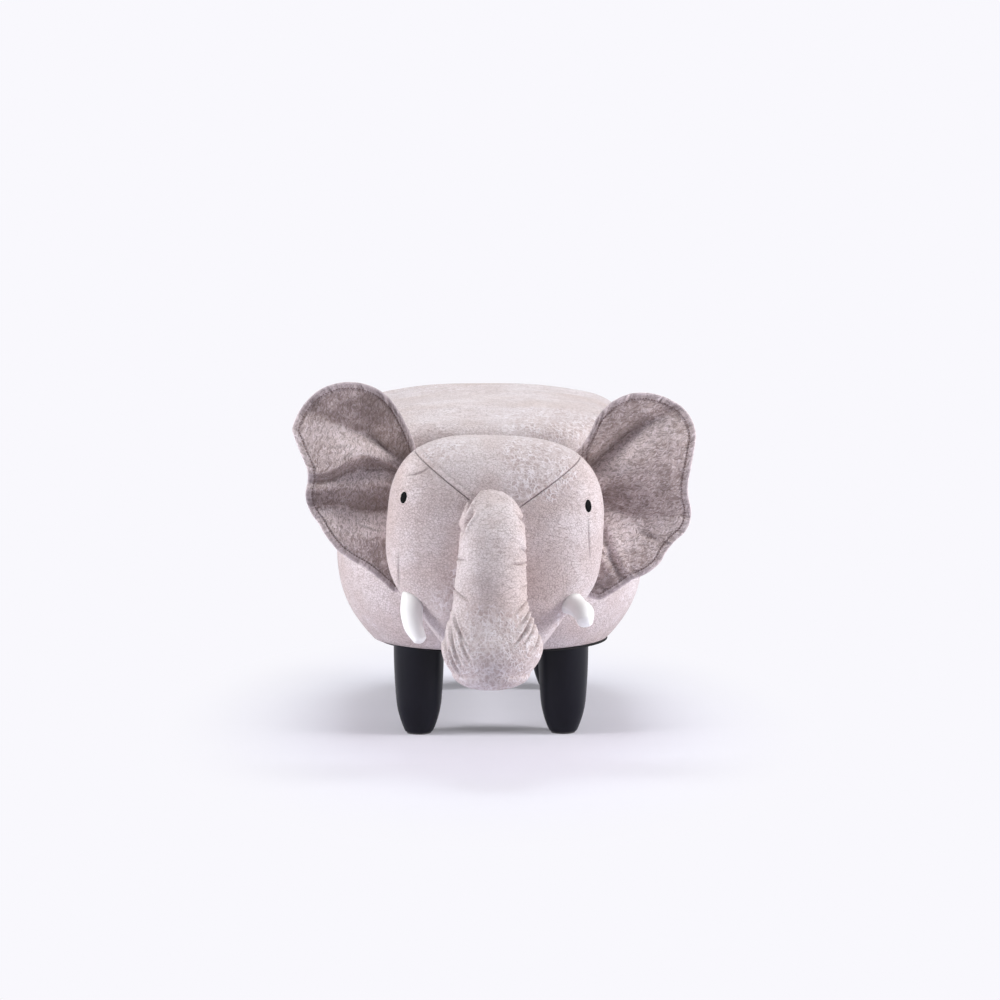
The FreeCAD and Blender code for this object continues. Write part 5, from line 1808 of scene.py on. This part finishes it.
@dataclass
class Ear(Assembly):
    """One ear: a brushed front and a leather back, sewn together along the rim and stitched inside it.

    The outline is arcs through three places each, seen from the front, in millimetres; the grid fans out
    from the root.
    """

    side: str
    outline: tuple[Pair, ...]
    root: Pair
    lines: tuple[FoldLine, ...]
    creases: tuple[Crease, ...] = ()
    middle_y: float = -0.0255
    thick: float = 0.0056
    rim_radius: float = 0.0012
    stitch_inset: float = 0.0068
    stitch_groove: Pair = (0.0006, 0.0010)
    stitch_size: Triple = (0.0031, 0.0020, 0.0005)
    stitch_lift: float = 0.0002
    sewn_from: float = 0.088
    pucker_height: float = 0.0008
    fold_gain: float = 1.5
    feel: float = 0.003
    wobble: float = 0.0032
    root_shade: float = 0.0
    columns: int = 440

    def rim_line(self) -> Array:
        """Closed outline, evenly spaced: circles through each three places, corners eased by averaging.

        Returns:
            Places as (column, xz).
        """
        corners = np.array(self.outline) * MM
        share = np.linspace(0.0, 1.0, 60, endpoint=False)
        spans = []
        for number in range(0, len(corners), 2):
            a, b, c = corners[number], corners[number + 1], corners[(number + 2) % len(corners)]
            spans.append(self._arc(a, b, c, share))
        line = np.concatenate(spans)
        closed = np.concatenate([line, line[:1]])
        run = distances(closed)
        even = np.linspace(0.0, run[-1], self.columns, endpoint=False)
        line = np.stack([np.interp(even, run, closed[:, axis]) for axis in (0, 1)], axis=-1)
        for _ in range(6):
            line = (np.roll(line, 1, axis=0) + 2 * line + np.roll(line, -1, axis=0)) / 4
        return line

    @staticmethod
    def _arc(a: Array, b: Array, c: Array, share: Array) -> Array:
        """Places on the circle through three places, from the first towards the third.

        Args:
            a: first place.
            b: place on the way.
            c: third place.
            share: how far to go, from 0 at the first to 1 at the third.

        Returns:
            One place for each share.
        """
        bend = 2 * ((a[0] - c[0]) * (b[1] - c[1]) - (b[0] - c[0]) * (a[1] - c[1]))
        if abs(bend) < TINY:
            return a + (c - a) * share[:, None]
        squares = [point @ point - c @ c for point in (a, b)]
        centre = np.array([squares[0] * (b[1] - c[1]) - squares[1] * (a[1] - c[1]),
                           squares[1] * (a[0] - c[0]) - squares[0] * (b[0] - c[0])]) / bend
        turns = [math.atan2(*(point - centre)[::-1]) for point in (a, b, c)]
        first = (turns[1] - turns[0] + math.pi) % TURN - math.pi
        second = (turns[2] - turns[1] + math.pi) % TURN - math.pi
        angle = turns[0] + (first + second) * share
        radius = math.dist(a, centre)
        return centre + radius * np.stack([np.cos(angle), np.sin(angle)], axis=-1)

    def wave(self, x: Array, z: Array) -> Array:
        """Y of the middle of the ear: from fold line to fold line along a cubic, level at round lines.

        Args:
            x: X of each place.
            z: height of each place.

        Returns:
            One value for each place.
        """
        reach = np.abs(x)
        z = z + self.wobble * soft_noise(np.stack([x, np.zeros_like(x), z], axis=-1), 0.028, 108)
        lines = [line.read(reach) for line in self.lines]
        y = lines[0][1].copy()
        for number in range(len(lines) - 1):
            (upper, back), (lower, next_back) = lines[number], lines[number + 1]
            down = np.clip((upper - z) / np.maximum(upper - lower, 0.004), 0.0, 1.0)
            leave, arrive = self.lines[number].keen, self.lines[number + 1].keen
            step = (down * down * (3 - 2 * down) + leave * down * (1 - down) ** 2
                    + arrive * down * down * (down - 1))
            y = y + (next_back - back) * step
        return y * self.fold_gain + self.plan.front_y + self.middle_y + self.thick / 2

    def build(self) -> None:
        """Make both faces and the rolled rim as one closed grid, then the stitches along the rim.

        A face is the middle of the ear plus or minus half its thickness, which thins to the rim; the rim is
        half a circle. The front has the pressed creases, and both have soft noise and the rim's puckers.
        """
        rim = self.rim_line()
        root = np.array(self.root) * MM
        slope = unit(np.roll(rim, -1, axis=0) - np.roll(rim, 1, axis=0))
        outward = np.stack([slope[:, 1], -slope[:, 0]], axis=-1)
        outward *= np.sign(np.sum(outward * (rim - root), axis=1, keepdims=True))
        depth = np.sum((rim - root) * outward, axis=1)
        front = np.concatenate([np.linspace(0.03, 0.82, 52), np.linspace(0.83, 1.0, 34)])
        back = front[::-2]
        roll = np.linspace(-math.pi / 2, math.pi / 2, 11)[1:-1]
        share = np.concatenate([front, np.ones(len(roll)), back])[:, None]
        inset = (1 - share) * depth[None, :]
        lean = np.concatenate([np.full(len(front), -1.0), np.sin(roll), np.full(len(back), 1.0)])[:, None]
        round_out = np.concatenate([np.zeros(len(front)), np.cos(roll), np.zeros(len(back))])[:, None]
        inner = rim - outward * self.rim_radius
        flat = root + (inner - root)[None] * share[..., None]
        flat = flat + outward[None] * (round_out * self.rim_radius)[..., None]
        x, z = flat[..., 0], flat[..., 1]
        groove_depth, groove_width = self.stitch_groove
        edge = bell(inset - self.stitch_inset, groove_width)
        plump = self.rim_radius + (self.thick / 2 - self.rim_radius) * smooth_step(inset, 0.004, 0.024)
        along = TURN * np.linspace(0.0, 1.0, self.columns)[None, :]
        girth = np.stack([np.cos(along), np.sin(along), np.zeros_like(along)], axis=-1)
        pucker = soft_noise(girth * 0.13, 0.0026, 101)
        near_rim = 1 - smooth_step(inset, 0.0050, 0.0105)
        middle = self.wave(x, z) + self.pucker_height * pucker * near_rim
        points = np.stack([x, middle + lean * (plump - groove_depth * edge), z], axis=-1)
        press, deep = pressed(self.creases, x, z)
        cloth = waviness(points, (0.0004, 0.007, 105), (0.0008, 0.016, 102), (0.0009, 0.034, 103))
        on_front = (lean < 0) * 1.0
        points[..., 1] += cloth * smooth_step(inset, 0.004, 0.02) - press * on_front
        # Painted shade for the finish: the stitch groove, the pressed creases and the hollows between the
        # rim's puckers are darker.
        drawn_in = np.clip(pucker, 0, 1) * near_rim
        fold = np.clip(0.16 * edge * on_front + 0.6 * deep ** 2 * on_front + 0.3 * drawn_in, 0, 1)
        # Paler rim band and piping, their own cloth, plus painted highlights on puckers that stand forward.
        band = 0.30 * (1 - smooth_step(inset, 0.0050, 0.0070))
        rim_tone_and_pucker_highlight = band + 0.58 * bell(inset, 0.0012) + 0.3 * np.clip(-pucker, 0, 1) * near_rim
        # Painted light and shade from the slope of the middle: cloth that faces up is paler, cloth near the
        # head darker, broken up by random unevenness.
        rise = (self.wave(x, z + self.feel) - self.wave(x, z - self.feel)) / (2 * self.feel)
        uneven = waviness(points, (0.16, 0.009, 106), (0.14, 0.022, 107))
        painted_head_shade = self.root_shade * (1 - smooth_step(np.abs(x), 0.098, 0.150))
        lie = np.clip(0.5 + 0.7 * rise + uneven - painted_head_shade, 0.0, 1.0)
        first = np.array([root[0], float(self.wave(root[:1], root[1:])[0]) - self.thick / 2, root[1]])
        last = first + np.array([0.0, self.thick, 0.0])
        piece = skin(f"ear_{self.side}_sewn", points, first, last, rim=np.clip(rim_tone_and_pucker_highlight, 0.0, 1.0), fold=fold,
                     lie=lie, wear=worn(points, [], 104))
        self._two_faces(piece, len(front) + len(roll) // 2)
        dress(piece, self.finishes.ears[self.side], Body.BOX, ("ear_" + self.side,))
        piece.data.materials.append(self.finishes.leather)
        self._sew(rim, outward)

    def _two_faces(self, piece: Piece, front_rows: int) -> None:
        """Give the faces behind the middle of the rim the second finish, the leather back.

        Args:
            piece: the ear.
            front_rows: rows of faces in front of the middle of the rim.
        """
        count = len(piece.data.polygons)
        turned = np.zeros(count, np.int32)
        turned[front_rows * self.columns:] = 1
        turned[count - 2 * self.columns:count - self.columns] = 0
        piece.data.polygons.foreach_set("material_index", turned)

    def _sew(self, rim: Array, outward: Array) -> None:
        """Stitches on both faces along the rim, away from the root inside the head.

        Args:
            rim: outline of the ear.
            outward: unit directions away from the root there.
        """
        line = rim - outward * self.stitch_inset
        start = int(np.argmin(np.abs(rim[:, 0])))
        line = np.roll(line, -start, axis=0)
        line = line[np.abs(line[:, 0]) > self.sewn_from]
        x, z = line[:, 0], line[:, 1]
        step = 0.002
        slope_x = (self.wave(x + step, z) - self.wave(x - step, z)) / (2 * step)
        slope_z = (self.wave(x, z + step) - self.wave(x, z - step)) / (2 * step)
        normal = unit(np.stack([slope_x, -np.ones_like(x), slope_z], axis=-1))
        half = self.rim_radius + self.stitch_lift
        for face, sense in (("front", -1.0), ("back", 1.0)):
            places = np.stack([x, self.wave(x, z) + sense * half, z], axis=-1)
            piece = stitches(f"ear_{self.side}_{face}_stitching", places, -sense * normal, *self.stitch_size)
            dress(piece, self.finishes.seam, Body.BOX)


def ears(*shop: Any) -> tuple[Ear, Ear]:
    """The two ears with their own outlines and pleats.

    Args:
        shop: plan, finishes and filling.

    Returns:
        The left and the right ear, as seen from the front.
    """
    left = Ear(
        *shop, "left",
        outline=(
            (-84, 333), (-94, 357), (-106, 378), (-122, 393), (-145, 401.5),
            (-167, 401), (-187, 393), (-206, 373), (-216, 350), (-209, 331),
            (-200, 311), (-199, 299), (-201.5, 286), (-200, 269), (-189, 251),
            (-179, 235), (-169, 222), (-156, 211.5), (-141, 203), (-122, 187),
            (-108, 173), (-97, 176), (-84, 200), (-78, 265),
        ),
        root=(-88, 270),
        lines=(
            FoldLine(((80, 420, -1), (130, 415, -6), (180, 408, -7), (220, 400, -4))),
            FoldLine(((80, 302, 6), (106, 320, 9), (131, 339, 11), (148, 345, 10), (172, 361, 5),
                      (220, 366, 1)), keen=0.9),
            FoldLine(((80, 294, 1), (110, 312, -2), (131, 322, -6), (155, 319, -10), (172, 310, -9),
                      (220, 305, -6)), keen=0.3),
            FoldLine(((80, 287, 2), (110, 305, 2), (140, 309, 2), (158, 305, 2), (175, 296, 0),
                      (220, 292, -3)), keen=0.8),
            FoldLine(((80, 280, -1), (120, 292, -3), (150, 290, -3), (220, 282, -4))),
            FoldLine(((80, 257, 7), (110, 260, 9), (150, 263, 8), (185, 265, 4), (220, 266, 0)), keen=1.2),
            FoldLine(((80, 222, -2), (120, 228, -6), (150, 232, -6), (220, 236, -4))),
            FoldLine(((80, 150, 6), (150, 160, 4), (220, 170, 2))),
        ),
        creases=(
            Crease((-104, 317), (-143, 343), 1.6, 3.2, 2), Crease((-108, 307), (-150, 307), 1, 1.1),
            Crease((-166, 316), (-150, 327), 1, 1.6), Crease((-175, 330), (-150, 336), 0.8, 1.8),
            Crease((-150, 250), (-120, 240), 0.6, 1.6),
        ),
        root_shade=0.3,
    )
    right = Ear(
        *shop, "right",
        outline=(
            (84, 322), (98, 338), (108, 359), (125, 379), (148, 389.5),
            (172, 388.5), (193, 380), (211, 363), (216.5, 340), (213, 318),
            (209.5, 299), (208.5, 286), (210.5, 271), (212, 252), (203, 236),
            (191, 225.5), (180, 208), (168, 197), (150, 188.5), (131, 174),
            (116, 164), (100, 169), (84, 196), (78, 260),
        ),
        root=(88, 262),
        lines=(
            FoldLine(((80, 352, -2), (126, 392, -6), (165, 402, -7), (220, 405, -4))),
            FoldLine(((80, 309, 1), (99, 320, 1), (126, 342, 0), (144, 356, -1), (164, 372, -3),
                      (220, 393, -4)), keen=0.2),
            FoldLine(((80, 289, 6), (99, 303, 9), (126, 325, 10), (144, 340, 9), (164, 358, 4),
                      (220, 380, -3)), keen=0.8),
            FoldLine(((80, 278, -1), (126, 298, -5), (165, 312, -8), (220, 322, -7))),
            FoldLine(((80, 268, 4), (117, 266, 6), (131, 262, 6), (147, 255, 5), (163, 251, 4),
                      (178, 254, 3), (220, 259, 0)), keen=1.0),
            FoldLine(((80, 205, -6), (120, 204, -9), (165, 208, -8), (220, 222, -5))),
            FoldLine(((80, 150, 6), (150, 160, 3), (220, 180, 2))),
        ),
        creases=(
            Crease((104, 224), (122, 214), 2, 2), Crease((108, 256), (130, 205), 2.4, 5),
            Crease((120, 222), (142, 182), 2.6, 4), Crease((96, 190), (134, 170), 1.4, 4),
            Crease((150, 242), (182, 228), 0.8, 3),
        ),
    )
    return left, right


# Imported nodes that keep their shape


def finish_nodes(finishes: Finishes) -> None:
    """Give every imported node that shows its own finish.

    Args:
        finishes: the materials.
    """
    groups = {
        finishes.lacquer: ("leg_front_left", "leg_front_right", "leg_rear_left", "leg_rear_right"),
        finishes.felt: ("leg_glides",),
        finishes.plywood: ("base_board", "wall_left", "wall_right", "wall_front", "wall_rear", "rim_frame",
                           "lid_board", "head_board"),
        finishes.steel: ("box_screws", "leg_hanger_bolts", "leg_t_nuts", "head_bolts", "head_t_nuts",
                         "hinge_front_leaf_fixed", "hinge_rear_leaf_fixed", "hinge_front_pin",
                         "hinge_rear_pin", "hinge_front_leaf_lid", "hinge_rear_leaf_lid",
                         "hinge_screws_fixed", "hinge_screws_lid"),
    }
    for material, names in groups.items():
        for name in names:
            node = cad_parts[name]
            if not node.material_slots:
                node.data.materials.append(material)
            for slot in node.material_slots:
                slot.material = material
            LOG.info("%s keeps its packed shape, finish %s", name, material.name)


# Studio


@dataclass
class Studio:
    """Pale floor, soft lamps, white surround and the camera."""

    middle: Triple = (0.0, -0.05, 0.2)
    backdrop: Triple = (249, 248, 253)
    light: Triple = (248, 248, 255)
    floor_colour: Triple = (221, 219, 231)
    floor_streak: Triple = (208, 206, 220)
    floor_grain: Triple = (0.25, 0.03, 1.0)
    floor_reach: Triple = (0.55, 1.0, 1.0)
    floor_rings: tuple[float, ...] = (20.0, 9.0, 4.0, 2.0, 1.0, 0.4)
    floor_level: float = -0.0003
    ambient: float = 0.20
    floor_glow: float = 0.16
    lens: float = 144.0
    sensor: float = 36.0
    pitch: float = math.radians(7.02)
    yaw: float = math.radians(1.5)
    distance: float = 4.3765
    sideways: float = 0.0099
    height: float = 0.7985
    target_y: float = -0.0539
    far: float = 60.0

    def floor(self) -> None:
        """A round floor whose colour fades into the backdrop away from the stool."""
        angle = np.linspace(0.0, TURN, 96, endpoint=False)[None, :]
        radius = np.array(self.floor_rings)[:, None]
        x, y = radius * np.cos(angle), radius * np.sin(angle)
        rows = np.stack([x, y, np.full_like(x, self.floor_level)], axis=-1)
        piece = skin("studio_floor", rows, last=np.array([0.0, 0.0, self.floor_level]))
        shader = Shader(bpy.data.materials.new("studio_floor"))
        place = shader.place()
        wide = shader.turned(place, self.floor_reach)
        flat = shader.node("VectorMath", {0: wide}, "Value", operation="LENGTH")
        streak = shader.noise(shader.turned(place, self.floor_grain), 1, 4, 0.6)
        base = shader.mix(shader.rise(streak, 0.45, 0.8) * 0.12, self.floor_colour, self.floor_streak)
        cloth = shader.node("BsdfDiffuse", {"Color": base})
        glow = shader.node("Emission", {"Color": colour(*self.backdrop), "Strength": 1.0})
        seen = self.seen(shader)
        # Near the stool the camera sees a floor_glow share of backdrop emission: painted light that lifts the
        # stool's shadow; further out the floor fades fully into the backdrop.
        share = self.floor_glow + shader.rise(flat, 0.22, 0.68) * (1 - self.floor_glow)
        both = shader.node("MixShader", {0: seen * share, 1: cloth, 2: glow})
        shader.node("OutputMaterial", {"Surface": both})
        piece.data.materials.append(shader.owner)

    @staticmethod
    def seen(shader: Shader) -> Wire:
        """One for rays of the camera, of gloss and of glass, which see the backdrop itself."""
        path = "LightPath"
        return (shader.node(path, output="Is Camera Ray") + shader.node(path, output="Is Glossy Ray")
                + shader.node(path, output="Is Transmission Ray"))

    def surround(self) -> None:
        """White world: the backdrop to the camera and in gloss, a softer light otherwise."""
        world = bpy.data.worlds.new("studio")
        bpy.context.scene.world = world
        shader = Shader(world)
        seen = self.seen(shader)
        shown, light = (
            shader.node("Background", {"Color": colour(*tone), "Strength": strength})
            for tone, strength in ((self.backdrop, 1.0), (self.light, self.ambient)))
        both = shader.node("MixShader", {0: seen, 1: light, 2: shown})
        shader.node("OutputWorld", {"Surface": both})

    def lamps(self) -> None:
        """Broad soft lamps: a cool one overhead, a little behind, and a warmer one at each side."""
        for name, place, width, power, tone in (
            ("overhead_lamp", (0.0, 0.50, 2.20), 0.9, 18.0, (0.88, 0.97, 1.0)),
            ("left_lamp", (-2.0, -0.50, 1.00), 1.0, 43.0, (1.0, 0.992, 0.98)),
            ("right_lamp", (2.0, -0.50, 1.00), 1.0, 53.0, (1.0, 0.992, 0.98)),
        ):
            data = bpy.data.lights.new(name, "AREA")
            data.shape = "DISK"
            data.size = width
            data.energy = power
            data.color = tone
            back = unit(np.array(place) - np.array(self.middle))
            right = unit(np.cross((0.0, 1.0, 0.05), back))
            stand(name, data).matrix_world = self.facing(right, np.cross(back, right), back, place)

    @staticmethod
    def facing(right: Array, up: Array, back: Array, place: Sequence[float]) -> Matrix:
        """Matrix of a lamp or camera with these three axes at a place."""
        return Matrix([*np.column_stack([right, up, back, place]).tolist(), [0.0, 0.0, 0.0, 1.0]])

    def camera(self) -> None:
        """Camera of the photograph: a long lens at eye level, looking slightly down."""
        ahead = np.array([math.sin(self.yaw), math.cos(self.yaw), 0.0])
        right = np.array([math.cos(self.yaw), -math.sin(self.yaw), 0.0])
        above = np.array([0.0, 0.0, 1.0])
        up = ahead * math.sin(self.pitch) + above * math.cos(self.pitch)
        back = above * math.sin(self.pitch) - ahead * math.cos(self.pitch)
        place = np.array([0.0, self.target_y, self.height]) - ahead * self.distance + right * self.sideways
        data = bpy.data.cameras.new("camera")
        data.lens = self.lens
        data.sensor_width = self.sensor
        data.clip_end = self.far
        eye = stand("camera", data)
        eye.matrix_world = self.facing(right, up, back, place)
        bpy.context.scene.camera = eye

    def build(self) -> None:
        """Make the whole studio."""
        bpy.context.scene.view_settings.view_transform = "Standard"
        self.floor()
        self.surround()
        self.lamps()
        self.camera()


def main() -> None:
    """Build and dress every sub-assembly in order."""
    logging.basicConfig(level=logging.INFO, format="%(name)s: %(message)s")
    finishes = Finishes()
    shop = (Plan(), finishes, Stuffing())
    head = Head(*shop)
    Studio().build()
    for part in (Tub(*shop), Lid(*shop), Linings(*shop), Neck(*shop), head, Eyes(*shop, head),
                 Trunk(*shop), Tusks(*shop), *ears(*shop), Tail(*shop)):
        part.build()
    finish_nodes(finishes)


if __name__ == "__main__":
    main()
